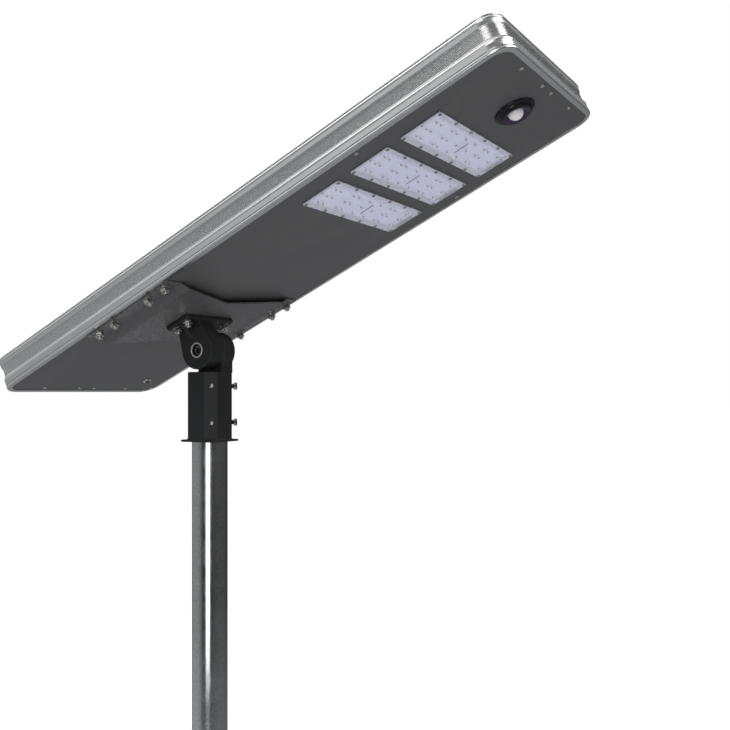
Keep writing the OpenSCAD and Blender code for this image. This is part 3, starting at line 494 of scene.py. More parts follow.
def grain_group():
    """Fine surface grain with broad patches, both from 0 to 1."""
    group, given, result = start_group(
        "Surface Grain",
        [("Stretch", VECTOR, (1, 1, 1)), ("Grains per Metre", VALUE, 1000),
         ("Patches per Metre", VALUE, 20)],
        [("Height", VALUE), ("Patches", VALUE)],
    )
    where = object_place(group)
    stretch = {0: where, 1: given["Stretch"]}
    drawn = node(group, "ShaderNodeVectorMath", stretch, operation="MULTIPLY").outputs[0]
    fine = noise(group, drawn, given["Grains per Metre"], 3.0)
    broad = noise(group, where, given["Patches per Metre"], 5.0)
    group.links.new(fine, result["Height"])
    group.links.new(between(group, broad, 0.3, 0.7), result["Patches"])
    return group


def wear_group():
    """Rubs a colour through along outer edges, in broken patches."""
    group, given, result = start_group(
        "Edge Wear",
        [("Color", COLOUR, MID_GREY), ("Worn Color", COLOUR, (0.8, 0.8, 0.8, 1)), ("Amount", VALUE, 0.5)],
        [("Color", COLOUR), ("Mask", VALUE)],
    )
    edge = between(group, geometry(group, "Pointiness"), 0.51, 0.6)
    patchy = between(group, noise(group, object_place(group), 240.0, 4.0), 0.4, 0.62)
    mask = maths(group, "MULTIPLY", maths(group, "MULTIPLY", edge, patchy), given["Amount"], clamp=True)
    group.links.new(blend_colour(group, mask, given["Color"], given["Worn Color"]), result["Color"])
    group.links.new(mask, result["Mask"])
    return group


def dust_group():
    """Lays a thin film of dust on faces that look up."""
    group, given, result = start_group(
        "Settled Dust",
        [("Color", COLOUR, MID_GREY), ("Dust Color", COLOUR, (0.35, 0.33, 0.3, 1)), ("Amount", VALUE, 0.2)],
        [("Color", COLOUR), ("Mask", VALUE)],
    )
    facing = node(group, "ShaderNodeSeparateXYZ", {0: geometry(group, "Normal")}).outputs["Z"]
    cloud = noise(group, object_place(group), 45.0, 6.0)
    film = maths(group, "MULTIPLY", between(group, facing, 0.2, 1.0), between(group, cloud, 0.35, 0.75))
    mask = maths(group, "MULTIPLY", film, given["Amount"], clamp=True)
    group.links.new(blend_colour(group, mask, given["Color"], given["Dust Color"]), result["Color"])
    group.links.new(mask, result["Mask"])
    return group


GROUP_MAKERS = {"Surface Grain": grain_group, "Edge Wear": wear_group, "Settled Dust": dust_group}


def use_group(tree, name, sockets):
    made = tree.nodes.new("ShaderNodeGroup")
    made.node_tree = bpy.data.node_groups.get(name) or GROUP_MAKERS[name]()
    for key, value in sockets.items():
        if isinstance(value, bpy.types.NodeSocket):
            tree.links.new(value, made.inputs[key])
        else:
            made.inputs[key].default_value = value
    return made.outputs


# ---------- finishes ----------

FINGER_SPACING = 1.7 * MM
FINGER_WIDTH = 0.09 * MM


def opaque(colour):
    return (*colour[:3], 1.0)


def scaled(colour, share):
    return (*(c * share for c in colour[:3]), 1.0)


def start_material(name, **sockets):
    """A material with only a Principled shader, whose plain values are set on its own sockets."""
    made = bpy.data.materials.new(name)
    made.use_nodes = True
    tree = made.node_tree
    tree.nodes.clear()
    shader = node(tree, "ShaderNodeBsdfPrincipled", {k.replace("_", " "): v for k, v in sockets.items()})
    output = node(tree, "ShaderNodeOutputMaterial")
    tree.links.new(shader.outputs[0], output.inputs[0])
    return made, tree, shader


def finish(name, colour, rough, spread=0.1, grains=1200, patches=25, stretch=(1, 1, 1), bump=0.1, depth=0.1,
           tone=0.85, wear=0.0, worn=(0.5, 0.5, 0.5), dust=0.0, **sockets):
    """The common build of a finish: grain, tone patches, worn edges and dust over one base colour."""
    made, tree, shader = start_material(name, **sockets)
    grain = use_group(tree, "Surface Grain", {
        "Stretch": stretch, "Grains per Metre": grains, "Patches per Metre": patches,
    })
    skin = blend_colour(tree, grain["Patches"], scaled(colour, tone), opaque(colour))
    roughness = between(tree, grain["Patches"], 0, 1, rough - spread / 2, rough + spread / 2)
    if wear:
        rubbed = use_group(tree, "Edge Wear", {"Color": skin, "Worn Color": opaque(worn), "Amount": wear})
        skin = rubbed["Color"]
    if dust:
        dusty = use_group(tree, "Settled Dust", {"Color": skin, "Amount": dust})
        skin = dusty["Color"]
        roughness = maths(tree, "ADD", roughness, maths(tree, "MULTIPLY", dusty["Mask"], 0.4), clamp=True)
    settings = {"Strength": bump, "Distance": depth * MM, "Height": grain["Height"]}
    relief = node(tree, "ShaderNodeBump", settings)
    tree.links.new(skin, shader.inputs["Base Color"])
    tree.links.new(roughness, shader.inputs["Roughness"])
    tree.links.new(relief.outputs[0], shader.inputs["Normal"])
    return made


def clear_finish(name, colour, rough, through, glance, **sockets):
    """Clear glass or plastic: seen through when looked at straight, and shiny at a glance."""
    made, tree, shader = start_material(name, Roughness=rough, **sockets)
    grain = use_group(tree, "Surface Grain", {"Grains per Metre": 400, "Patches per Metre": 12})
    skin = blend_colour(tree, grain["Patches"], scaled(colour, 0.94), opaque(colour))
    fresnel = node(tree, "ShaderNodeFresnel", {"IOR": 1.5}).outputs[0]
    tree.links.new(skin, shader.inputs["Base Color"])
    tree.links.new(between(tree, fresnel, 0.04, 0.6, through, glance), shader.inputs["Alpha"])
    return made


def cell_finish(name, colours):
    """Dark silicon with thin silver fingers across it and a slight difference from cell to cell."""
    made, tree, shader = start_material(name, Specular_IOR_Level=0.4)
    dot = {0: object_place(tree), 1: HEAD.to_3x3() @ Vector((1, 0, 0))}
    along = node(tree, "ShaderNodeVectorMath", dot, operation="DOT_PRODUCT").outputs["Value"]
    finger = maths(tree, "PINGPONG", along, FINGER_SPACING / 2)
    line = between(tree, finger, 0.0, FINGER_WIDTH, 0.5, 0.0)
    grain = use_group(tree, "Surface Grain", {"Grains per Metre": 3000, "Patches per Metre": 9})
    silicon = blend_colour(tree, grain["Patches"], opaque(colours.cell), scaled(colours.cell, 1.7))
    skin = blend_colour(tree, line, silicon, opaque(colours.silver))
    tree.links.new(skin, shader.inputs["Base Color"])
    tree.links.new(between(tree, grain["Height"], 0, 1, 0.28, 0.42), shader.inputs["Roughness"])
    return made


def rail_finish(name, colour):
    """Satin anodising over extruded aluminium, with die lines that run round the head and painted shade in
    its grooves.
    """
    made, tree, shader = start_material(name, Metallic=1.0, Anisotropic=0.35)
    lines = use_group(tree, "Surface Grain", {
        "Stretch": (0.0003, 0.0003, 1), "Grains per Metre": 1400, "Patches per Metre": 6,
    })
    satin = use_group(tree, "Surface Grain", {"Grains per Metre": 4200, "Patches per Metre": 60})
    skin = blend_colour(tree, lines["Patches"], scaled(colour, 0.96), opaque(colour))
    streak = between(tree, lines["Height"], 0.35, 0.65, 0, 0.2)
    skin = blend_colour(tree, streak, skin, scaled(colour, 0.88))
    # Painted shade: concave spots in the grooves are darkened toward a quarter of the base colour.
    painted_groove_shade = between(tree, geometry(tree, "Pointiness"), 0.49, 0.44, 0, 0.8)
    skin = blend_colour(tree, painted_groove_shade, skin, scaled(colour, 0.25))
    worn = use_group(tree, "Edge Wear", {"Color": skin, "Worn Color": scaled(colour, 1.2), "Amount": 0.08})
    dusty = use_group(tree, "Settled Dust", {"Color": worn["Color"], "Amount": 0.08})
    settings = {"Strength": 0.02, "Distance": 0.02 * MM, "Height": lines["Height"]}
    relief = node(tree, "ShaderNodeBump", settings)
    tree.links.new(dusty["Color"], shader.inputs["Base Color"])
    tree.links.new(between(tree, satin["Patches"], 0, 1, 0.25, 0.28), shader.inputs["Roughness"])
    tree.links.new(relief.outputs[0], shader.inputs["Normal"])
    return made


def pole_finish(name, colour):
    """Drawn steel tube: bright, with faint lengthwise marks and a slow waviness."""
    made, tree, shader = start_material(name, Metallic=1.0, Anisotropic=0.3)
    drawn = use_group(tree, "Surface Grain", {
        "Stretch": (1, 1, 0.01), "Grains per Metre": 900, "Patches per Metre": 30,
    })
    wave = noise(tree, object_place(tree), 28.0, 2.0)
    skin = blend_colour(tree, drawn["Patches"], scaled(colour, 0.85), opaque(colour))
    skin = blend_colour(tree, between(tree, drawn["Height"], 0.4, 0.7, 0, 0.3), skin, scaled(colour, 0.6))
    worn = use_group(tree, "Edge Wear", {"Color": skin, "Worn Color": scaled(colour, 1.4), "Amount": 0.4})
    height = maths(tree, "ADD", maths(tree, "MULTIPLY", drawn["Height"], 0.02), wave)
    relief = node(tree, "ShaderNodeBump", {"Strength": 0.25, "Distance": 0.6 * MM, "Height": height})
    tree.links.new(worn["Color"], shader.inputs["Base Color"])
    tree.links.new(between(tree, drawn["Patches"], 0, 1, 0.14, 0.24), shader.inputs["Roughness"])
    tree.links.new(relief.outputs[0], shader.inputs["Normal"])
    return made


def material_makers(colours):
    """How each finish is made, by its name."""
    silver, black, steel = colours.aluminium, colours.casting, colours.stainless
    screw = {"grains": 700, "patches": 300, "depth": 0.05, "Metallic": 1.0}
    gloss = {"spread": 0.06, "grains": 300, "patches": 50, "bump": 0.02}
    return {
        "anodised_frame": lambda n: rail_finish(n, silver),
        "cover_glass": lambda n: clear_finish(n, (0.2, 0.21, 0.23), 0.1, 0.03, 0.35),
        "mono_cell": lambda n: cell_finish(n, colours),
        "tinned_ribbon": lambda n: finish(n, colours.silver, 0.34, grains=1800, bump=0.3, Metallic=0.9),
        "backsheet_grey": lambda n: finish(n, colours.backsheet, 0.55, grains=900, bump=0.2, tone=0.92),
        "black_rubber": lambda n: finish(n, (0.018, 0.018, 0.02), 0.7, grains=1500, bump=0.3),
        "panel_charcoal": lambda n: finish(
            n, colours.charcoal, 0.44, spread=0.08, grains=900, patches=7, bump=0.1, tone=0.92, wear=0.2,
            worn=(0.12, 0.12, 0.125)),
        "bracket_charcoal": lambda n: finish(
            n, scaled(colours.charcoal, 0.95), 0.42, grains=1100, patches=20, bump=0.16, wear=0.45,
            worn=(0.16, 0.16, 0.165), dust=0.1),
        "black_casting": lambda n: finish(
            n, black, 0.58, grains=1300, patches=40, bump=0.3, depth=0.1, wear=0.4,
            worn=(0.09, 0.09, 0.095), dust=0.05, Specular_IOR_Level=0.35),
        "stainless": lambda n: finish(n, steel, 0.17, bump=0.1, tone=0.75, **screw),
        "dull_screw": lambda n: finish(n, scaled(steel, 0.34), 0.26, bump=0.12, tone=0.7, **screw),
        "satin_ring": lambda n: finish(
            n, (0.85, 0.85, 0.83), 0.42, grains=900, patches=90, bump=0.08, Metallic=1.0),
        "black_steel": lambda n: finish(
            n, (0.05, 0.05, 0.055), 0.32, grains=900, patches=200, bump=0.15, wear=0.6, worn=steel,
            Metallic=0.9),
        "lens_clear": lambda n: clear_finish(n, colours.lens, 0.16, 0.28, 0.5),
        "board_white": lambda n: finish(
            n, colours.board, 0.42, grains=600, patches=35, bump=0.06, tone=0.93),
        "phosphor": lambda n: finish(n, colours.phosphor, 0.5, grains=2500, patches=300, bump=0.2),
        "gloss_black": lambda n: finish(
            n, (0.006, 0.006, 0.007), 0.09, Specular_IOR_Level=0.2, **gloss),
        "sensor_cone": lambda n: finish(
            n, colours.cone, 0.22, Specular_IOR_Level=0.3, **gloss),
        "dome_white": lambda n: finish(
            n, colours.dome, 0.16, spread=0.05, grains=500, patches=80, bump=0.03, tone=0.95,
            Subsurface_Weight=0.1),
        "circuit_green": lambda n: finish(n, (0.02, 0.09, 0.035), 0.35, grains=700, patches=160, bump=0.1),
        "bare_aluminium": lambda n: finish(
            n, (0.6, 0.61, 0.62), 0.38, stretch=(0.02, 1, 1), grains=1500, bump=0.2, Metallic=1.0),
        "plated_steel": lambda n: finish(
            n, (0.55, 0.55, 0.5), 0.35, grains=1000, patches=90, bump=0.15, Metallic=1.0, dust=0.1),
        "cell_wrap": lambda n: finish(
            n, (0.02, 0.11, 0.2), 0.3, grains=300, patches=120, bump=0.1, Coat_Weight=0.3),
        "holder_black": lambda n: finish(n, (0.02, 0.02, 0.022), 0.5, grains=1200, bump=0.2),
        "loom_red": lambda n: finish(n, (0.3, 0.02, 0.015), 0.4, grains=900, patches=150, bump=0.15),
        "pole_steel": lambda n: pole_finish(n, colours.pole),
    }


def material(name):
    """The finish of that name, made the first time that it is asked for."""
    full_name = f"lamp_{name}"
    found = bpy.data.materials.get(full_name)
    return found or material_makers(bpy.context.scene.lamp_colours)[name](full_name)


# ---------- settings ----------

def colour_setting(name, description, value):
    return FloatVectorProperty(
        name=name, description=description, subtype="COLOR", default=value, min=0, max=1)


def size_setting(name, description, value):
    return FloatProperty(name=name, description=description, unit="LENGTH", default=value, min=0)


class LampColours(PropertyGroup):
    """Colours of the lamp's finishes."""
    aluminium: colour_setting("Aluminium", "Anodised frame", (0.7, 0.7, 0.7))
    charcoal: colour_setting("Charcoal", "Powder coat of the underside", (0.045, 0.045, 0.047))
    casting: colour_setting("Casting", "Coat of the knuckle and the sleeve", (0.008, 0.0085, 0.0095))
    stainless: colour_setting("Stainless", "Bolts, nuts and screws", (0.62, 0.6, 0.57))
    pole: colour_setting("Pole", "Steel of the pole and its foot", (0.5, 0.5, 0.51))
    lens: colour_setting("Lens", "Clear plastic over the LEDs", (0.64, 0.65, 0.76))
    board: colour_setting("Board", "Solder mask of the LED boards", (0.54, 0.57, 0.76))
    phosphor: colour_setting("Phosphor", "Face of an LED", (0.13, 0.13, 0.055))
    dome: colour_setting("Dome", "Lens of the motion sensor", (0.46, 0.46, 0.48))
    cone: colour_setting("Cone", "Funnel round the sensor's lens", (0.02, 0.011, 0.028))
    cell: colour_setting("Cell", "Silicon of the solar cells", (0.006, 0.0065, 0.009))
    silver: colour_setting("Silver", "Ribbons and fingers of the cells", (0.5, 0.5, 0.5))
    backsheet: colour_setting("Backsheet", "Sheet behind the cells", (0.22, 0.22, 0.2))


class LampSizes(PropertyGroup):
    """Sizes that are the finish's own and not the design's."""
    die_edge: size_setting("Die edge", "Rounding of the frame extrusion's corners", 0.35 * MM)
    sheet_edge: size_setting("Sheet edge", "Rounding of cut sheet metal", 0.3 * MM)
    bend: size_setting("Bend", "Inner radius of the bracket's bends", 4 * MM)
    cast_grain: size_setting("Cast grain", "Finest detail of the castings", 0.9 * MM)
    optic_rise: size_setting("Optic rise", "Height of the small lens over each LED", 1.3 * MM)
    optic_width: size_setting("Optic width", "Width of the small lens over each LED", 11 * MM)
    weld: size_setting("Weld", "Half width of the weld bead at the pole's foot", 2.6 * MM)


def sizes():
    return bpy.context.scene.lamp_sizes


# ---------- frame ----------

RAIL_CORNER = 32 * MM
RAIL_SEAM = 0.4 * MM
RAIL_GROOVES = 9


def rail_outline(low, high):
    """Section of the extrusion, as (depth from its outer face, height)."""
    tall = high - low
    shell = [
        (9, 0), (2.2, 0), (0.9, 0.011), (0.3, 0.03), (0.1, 0.055), (0.3, 0.088),
        (2.4, 0.094), (2.4, 0.112), (0.6, 0.117), (0.8, 0.26), (0.25, 0.275), (0, 0.295), (0.25, 0.315),
        (1.3, 0.35), (3, 0.385),
    ]
    band_depth, band_low, band_tall = 3, 0.4, 0.33
    pitch = band_tall / RAIL_GROOVES
    for k in range(RAIL_GROOVES):
        for step, cut in ((0.1, 0), (0.4, 0.8), (0.75, 0.8), (0.9, 0)):
            shell.append((band_depth + cut, band_low + (k + step) * pitch))
    shell += [
        (3, 0.735), (1.2, 0.745), (1.2, 0.862), (0.4, 0.87), (0, 0.888), (0.25, 0.912), (1, 0.935),
        (2.4, 0.952), (2.8, 0.956), (2.8, 0.966), (1.2, 0.97), (1.2, 0.985), (2.2, 1), (8.5, 1),
        (8.8, 0.99), (9.4, 0.99), (9.7, 1), (11, 1),
    ]
    outline = [(depth * MM, low + share * tall) for depth, share in shell]
    inside = [(11, 2), (5.5, 2), (5.5, 7), (13, 7), (13, 9), (5, 9)]
    outline += [(depth * MM, high - drop * MM) for depth, drop in inside]
    ledge = [(5, 5), (24, 5), (24, 2.5), (9, 2.5)]
    return outline + [(depth * MM, low + rise * MM) for depth, rise in ledge]


def build_rail():
    """One extrusion bent round the head, its ends meeting at the middle of the rear."""
    low, high = node_box("frame_rail")
    centre = (low + high) / 2
    half = (high - low) / 2
    section = fillet(rail_outline(low.z, high.z), sizes().die_edge)
    stations = [(Vector((-half.x, -RAIL_SEAM / 2)), Vector((-1, 0)))]
    for quarter, (sx, sy) in enumerate(((-1, -1), (1, -1), (1, 1), (-1, 1))):
        pivot = Vector((sx * (half.x - RAIL_CORNER), sy * (half.y - RAIL_CORNER)))
        for k in range(17):
            angle = math.pi + (quarter + k / 16) * TAU / 4
            out = Vector((math.cos(angle), math.sin(angle)))
            stations.append((pivot + out * RAIL_CORNER, out))
    stations.append((Vector((-half.x, RAIL_SEAM / 2)), Vector((-1, 0))))
    bm = bmesh.new()
    loops = []
    for spot, out in stations:
        loops.append([
            (centre.x + spot.x - out.x * depth, centre.y + spot.y - out.y * depth, height)
            for depth, height in section
        ])
    join_loops(bm, loops)
    put("bent_rail", bm, HEAD, "head", "anodised_frame", "frame_rail", flat=True)
    dress("bare_aluminium", "frame_splice")


# ---------- underside ----------

def build_panel():
    panel = soft_edges(cad_mesh("bottom_panel", HEAD), sizes().sheet_edge)
    put("underside_panel", panel, HEAD, "head", "panel_charcoal", "bottom_panel", flat=True)
    head = node_box("bottom_panel")[0].z - solids("panel_screws")[0][0].z
    fit_cross_screws("underside_screws", "panel_screws", head, 0.53, 3)


def fit_cross_screws(name, cad_node, head, shank, seed):
    """Screws that hang from the underside. shank is the share of the head's radius that the shank has."""
    boxes = solids(cad_node)
    radius = (boxes[0][1].x - boxes[0][0].x) / 2
    reach = boxes[0][1].z - boxes[0][0].z - head
    spin = random.Random(seed)
    places = [upright(middle(b).x, middle(b).y, b[0].z + head, spin.uniform(0, TAU), True) for b in boxes]
    screws = repeated(cross_screw_mesh(radius, head, radius * shank, reach), places)
    put(name, screws, HEAD, "head", "stainless", cad_node)


# ---------- LED modules ----------

LED_SIZE = 3 * MM
LED_HEIGHT = 0.7 * MM
LED_DOME = [
    (radius * MM, height * MM)
    for radius, height in ((1.7, 0.3), (1.8, 0), (1.75, -0.5), (1.5, -1.0), (1.0, -1.45), (0.3, -1.65))
]
GASKET = 0.8 * MM
LENS_RIM = 2 * MM
LENS_SLOPE = 0.8 * MM
LENS_GRID = 1.5 * MM
SLOT_X = 13 * MM
SLOT_Y = 0.6 * MM
SLOT_DEPTH = 1.1 * MM
TOUCH = 0.01 * MM


def grid_lines(half, step, marks):
    """Lines from -half to half about step apart, with lines exactly on the marks and their mirrors."""
    count = round(2 * half / step)
    lines = {round(-half + 2 * half * k / count, 7) for k in range(count + 1)}
    for mark in marks:
        for value in (mark, -mark):
            lines = {line for line in lines if abs(line - value) > step * 0.3} | {round(value, 7)}
    return sorted(lines)


def bend_corner(x, y, half_x, half_y, radius):
    """Pulls the points near a rectangle's corner in, so that the corner becomes an arc."""
    qx = (abs(x) - half_x + radius) / radius
    qy = (abs(y) - half_y + radius) / radius
    if min(qx, qy) <= 0 or max(qx, qy) > 1.0001:
        return x, y
    pull = max(qx, qy) / math.hypot(qx, qy)
    return (
        math.copysign(half_x - radius + qx * pull * radius, x),
        math.copysign(half_y - radius + qy * pull * radius, y),
    )


def lens_height(x, y, plan, optics):
    """How far the lens plate's outer face stands above its rim."""
    inside = min(plan["top_x"] - abs(x), plan["top_y"] - abs(y))
    if inside < -TOUCH:
        return 0.0
    height = plan["rise"] * min(1.0, max(0.0, (inside + TOUCH) / LENS_SLOPE))
    if abs(y) < SLOT_Y + 0.1 * MM and abs(x) < SLOT_X + 0.05 * MM:
        return height - SLOT_DEPTH
    for cx, cy in optics:
        near = math.hypot(x - cx, y - cy) / (sizes().optic_width / 2)
        if near < 1:
            dimple = 1 - 0.18 * math.exp(-(near * 4) ** 2)
            height += sizes().optic_rise * math.sqrt(1 - near * near) * dimple
    return height


def add_lens_plate(bm, box, board, chips):
    """A clear plate with a raised middle, a small lens over each LED and a slot across its middle."""
    centre = middle(box)
    half = (box[1] - box[0]) / 2
    back = box[1].z - GASKET
    plan = {
        "top_x": (board[1].x - board[0].x) / 2 + 0.8 * MM,
        "top_y": (board[1].y - board[0].y) / 2 + 1.3 * MM,
        "rise": back - LENS_RIM - box[0].z,
    }
    optics = [(middle(c).x - centre.x, middle(c).y - centre.y) for c in chips]
    edge = 0.4 * MM
    marks_x = (plan["top_x"], plan["top_x"] - LENS_SLOPE, half.x - edge, SLOT_X, SLOT_X + 0.6 * MM)
    marks_y = (plan["top_y"], plan["top_y"] - LENS_SLOPE, half.y - edge, SLOT_Y, SLOT_Y + 0.4 * MM)
    xs = grid_lines(half.x, LENS_GRID, marks_x)
    ys = grid_lines(half.y, LENS_GRID, marks_y)
    last_i, last_j = len(xs) - 1, len(ys) - 1
    outer, inner = {}, {}
    for i, x in enumerate(xs):
        for j, y in enumerate(ys):
            on_border = i in (0, last_i) or j in (0, last_j)
            height = LENS_RIM + lens_height(x, y, plan, optics) - (edge if on_border else 0)
            px, py = bend_corner(x, y, half.x, half.y, 3 * MM)
            if (px, py) == (x, y):
                px, py = bend_corner(x, y, plan["top_x"], plan["top_y"], 2.5 * MM)
            outer[i, j] = bm.verts.new((centre.x + px, centre.y + py, back - height))
            if on_border:
                inner[i, j] = bm.verts.new((centre.x + px, centre.y + py, back))
    for i in range(last_i):
        for j in range(last_j):
            bm.faces.new((outer[i, j], outer[i, j + 1], outer[i + 1, j + 1], outer[i + 1, j]))
    border = [(i, 0) for i in range(last_i)] + [(last_i, j) for j in range(last_j)]
    border += [(i, last_j) for i in range(last_i, 0, -1)] + [(0, j) for j in range(last_j, 0, -1)]
    for here, after in zip(border, border[1:] + border[:1]):
        bm.faces.new((outer[here], outer[after], inner[after], inner[here]))
    bm.faces.new([inner[spot] for spot in border])


def build_module(number):
    """One LED module: clear lens plate with its seals, and a white board with its LEDs."""
    plate = node_box(f"led_lens_{number}")
    board = node_box(f"led_board_{number}")
    chips = []
    for centre in led_centres(number):
        reach = Vector((LED_SIZE / 2, LED_SIZE / 2, LED_HEIGHT))
        chips.append((centre - reach, centre + Vector((reach.x, reach.y, 0))))
    lens = bmesh.new()
    add_lens_plate(lens, plate, board, chips)
    put(f"clear_lens_{number}", lens, HEAD, "head", "lens_clear", f"led_lens_{number}")
    white = bmesh.new()
    top = board[0].z + LED_HEIGHT
    add_plate(white, (Vector((board[0].x, board[0].y, top)), board[1]), 1.5 * MM, 0.2 * MM)
    wall = 0.4 * MM
    for box in chips:
        low = box[0] + Vector((-wall, -wall, 0.25 * MM))
        high = box[1] + Vector((wall, wall, 0.05 * MM))
        add_plate(white, (low, high), 0.3 * MM, 0.1 * MM)
    put(f"white_board_{number}", white, HEAD, "head", "board_white", f"led_board_{number}")
    glow = bmesh.new()
    inset = 0.2 * MM
    for box in chips:
        low = box[0] + Vector((inset, inset, 0))
        high = box[1] - Vector((inset, inset, LED_HEIGHT / 2))
        add_plate(glow, (low, high), 0.6 * MM, 0.12 * MM)
        spot = Matrix.Translation((middle(box).x, middle(box).y, plate[0].z + 0.7 * MM))
        add_turned(glow, LED_DOME, 16, spot)
    put(f"led_faces_{number}", glow, HEAD, "head", "board_white", look="phosphor")
    put(f"rubber_seals_and_slot_shade_{number}", module_seals_and_slot_shade(plate), HEAD, "head", "black_rubber")
    dress("black_rubber", f"lens_gasket_{number}")
    dress("bare_aluminium", f"heat_spreader_{number}")


def module_seals_and_slot_shade(plate):
    """Black strip in the lens plate's slot that is painted shade, rubber in the lead's channel and plugs,
    and a ring under each screw.
    """
    bm = bmesh.new()
    centre = middle(plate)
    low = plate[0].z
    rim_face = plate[1].z - GASKET - LENS_RIM
    # Painted shade: a black strip laid in the slot darkens it as shade inside the slot would.
    slot_shade_low = Vector((centre.x - SLOT_X, centre.y - SLOT_Y, low + 0.15 * MM))
    slot_shade_high = Vector((centre.x + SLOT_X, centre.y + SLOT_Y, low + 1.0 * MM))
    add_plate(bm, (slot_shade_low, slot_shade_high), 0.55 * MM, 0.1 * MM)
    end = plate[1].y - 8.2 * MM
    channel = 17 * MM
    for shift, width in ((0, 0.45), (2.6, 0.3)):
        y = end + shift * MM
        line_low = Vector((centre.x - channel, y - width * MM, rim_face - 0.12 * MM))
        line_high = Vector((centre.x + channel, y + width * MM, rim_face + 0.3 * MM))
        add_plate(bm, (line_low, line_high), 0.25 * MM, 0.05 * MM)
    plugs = [(centre.x + side * 5 * MM, end + 0.6 * MM, 1.5) for side in (-1, 1)]
    plugs += [(centre.x + side * 31 * MM, plate[0].y + 3.6 * MM, 1.7) for side in (-1, 1)]
    plugs += [(centre.x + 1 * MM, plate[0].y + 3.2 * MM, 1.3)]
    for x, y, width in plugs:
        radius = width * MM
        rings = [(0.2 * MM, 0), (radius * 0.7, 0), (radius, 0.15 * MM), (radius, 0.5 * MM)]
        add_turned(bm, rings, 20, Matrix.Translation((x, y, rim_face - 0.25 * MM)))
    for box in solids("lens_screws"):
        spot = middle(box)
        if plate[0].x < spot.x < plate[1].x:
            radius = (box[1].x - box[0].x) / 2
            ring = [
                (radius + 0.6 * MM, 0.3 * MM), (radius + 0.4 * MM, 0), (radius, -0.1 * MM),
                (radius, 0.4 * MM),
            ]
            add_turned(bm, ring, 24, Matrix.Translation((spot.x, spot.y, rim_face - 0.1 * MM)), closed=True)
    return bm


def led_centres(number):
    """Middle of each LED's foot on its board, read from the CAD board's own squares."""
    bm = cad_mesh(f"led_board_{number}", HEAD)
    low = node_box(f"led_board_{number}")[0].z
    tips = [v.co.copy() for v in bm.verts if v.co.z < low + 0.05 * MM]
    bm.free()
    groups = []
    for tip in sorted(tips, key=lambda t: (round(t.x, 5), round(t.y, 5))):
        near = next((g for g in groups if (g[0] - tip).length < LED_SIZE * 1.5), None)
        if near:
            near.append(tip)
        else:
            groups.append([tip])
    return [Vector((middle(corners(g)).x, middle(corners(g)).y, low + LED_HEIGHT)) for g in groups]


# ---------- sensor and button ----------

CAP_CLEARANCE = 0.2 * MM
SENSOR_NECK = 12 * MM
FACET_SECTORS = (14, 12, 10, 7, 1)
FACET_SAG = 0.035


def underside_place(node):
    """Axes on the underside at a node's middle, with Z away from the head."""
    centre = middle(node_box(node))
    seat = node_box("bottom_panel")[0].z
    return HEAD @ Matrix.Translation((centre.x, centre.y, seat)) @ Matrix.Rotation(math.pi, 4, "X")


def round_turned(outline, radius, steps):
    """A turned ring from a closed outline with rounded corners."""
    return turned([tuple(p) for p in fillet(outline, radius)], steps, closed=True)


def build_sensor():
    bezel = node_box("sensor_bezel")
    dome = node_box("sensor_dome")
    seat = node_box("bottom_panel")[0].z
    place = underside_place("sensor_bezel")
    outer = (bezel[1].x - bezel[0].x) / 2
    tall = seat - bezel[0].z
    radius = (dome[1].x - dome[0].x) / 2
    bore = radius + CAP_CLEARANCE
    neck = bore + 2 * MM
    lip = outer - 9.8 * MM
    outline = [
        (bore, -SENSOR_NECK), (neck, -SENSOR_NECK), (neck, 0), (outer, 0), (outer, tall * 0.2),
        (outer - 1.2 * MM, tall * 0.34), (outer - 4.2 * MM, tall * 0.42), (outer - 4.8 * MM, tall * 0.6),
        (outer - 6.5 * MM, tall * 0.86), (outer - 8.5 * MM, tall), (lip, tall), (bore, tall * 0.6),
    ]
    ring = round_turned(outline, 0.9 * MM, 96)
    put("sensor_rim", ring, place, "head", "gloss_black", "sensor_bezel")
    wide = lip + 0.2 * MM
    narrow = bore + 0.1 * MM
    funnel = [
        (wide, tall + 0.05 * MM), (wide, tall - 0.4 * MM), (narrow, tall * 0.5), (narrow, tall * 0.66),
    ]
    cone = round_turned(funnel, 0.15 * MM, 96)
    put("sensor_funnel", cone, place, "head", "gloss_black", look="sensor_cone")
    facets = lens_facets(radius, seat - dome[0].z)
    put("sensor_lens", facets, place, "head", "dome_white", "sensor_dome")
    dress("circuit_green", "sensor_board")
    dress("holder_black", "sensor_nut")


def lens_facets(radius, crown):
    """Domed sensor lens, moulded in rings of shallow facets."""
    rings = [(radius - 1 * MM, -8 * MM), (radius, -8 * MM), (radius, crown - radius)]
    rows = len(FACET_SECTORS)
    count = 24
    for k in range(1, count):
        lift = k / count * TAU / 4

        def faceted(angle, lift=lift):
            row = int(lift / (TAU / 4) * rows)
            sectors = FACET_SECTORS[row]
            turn = (angle + row * 0.3) % (TAU / sectors) - TAU / sectors / 2
            sag = 1 - FACET_SAG * (1 - abs(turn) / (TAU / sectors / 2)) if sectors > 1 else 0.985
            across = lift / (TAU / 4) * rows - row
            groove = 0.012 if min(across, 1 - across) < 0.13 else 0.0
            return radius * math.cos(lift) * (2 - sag - groove) / (1 + FACET_SAG)

        rings.append((faceted, crown - radius + radius * math.sin(lift)))
    rings.append((0.3 * MM, crown))
    return turned(rings, 112)


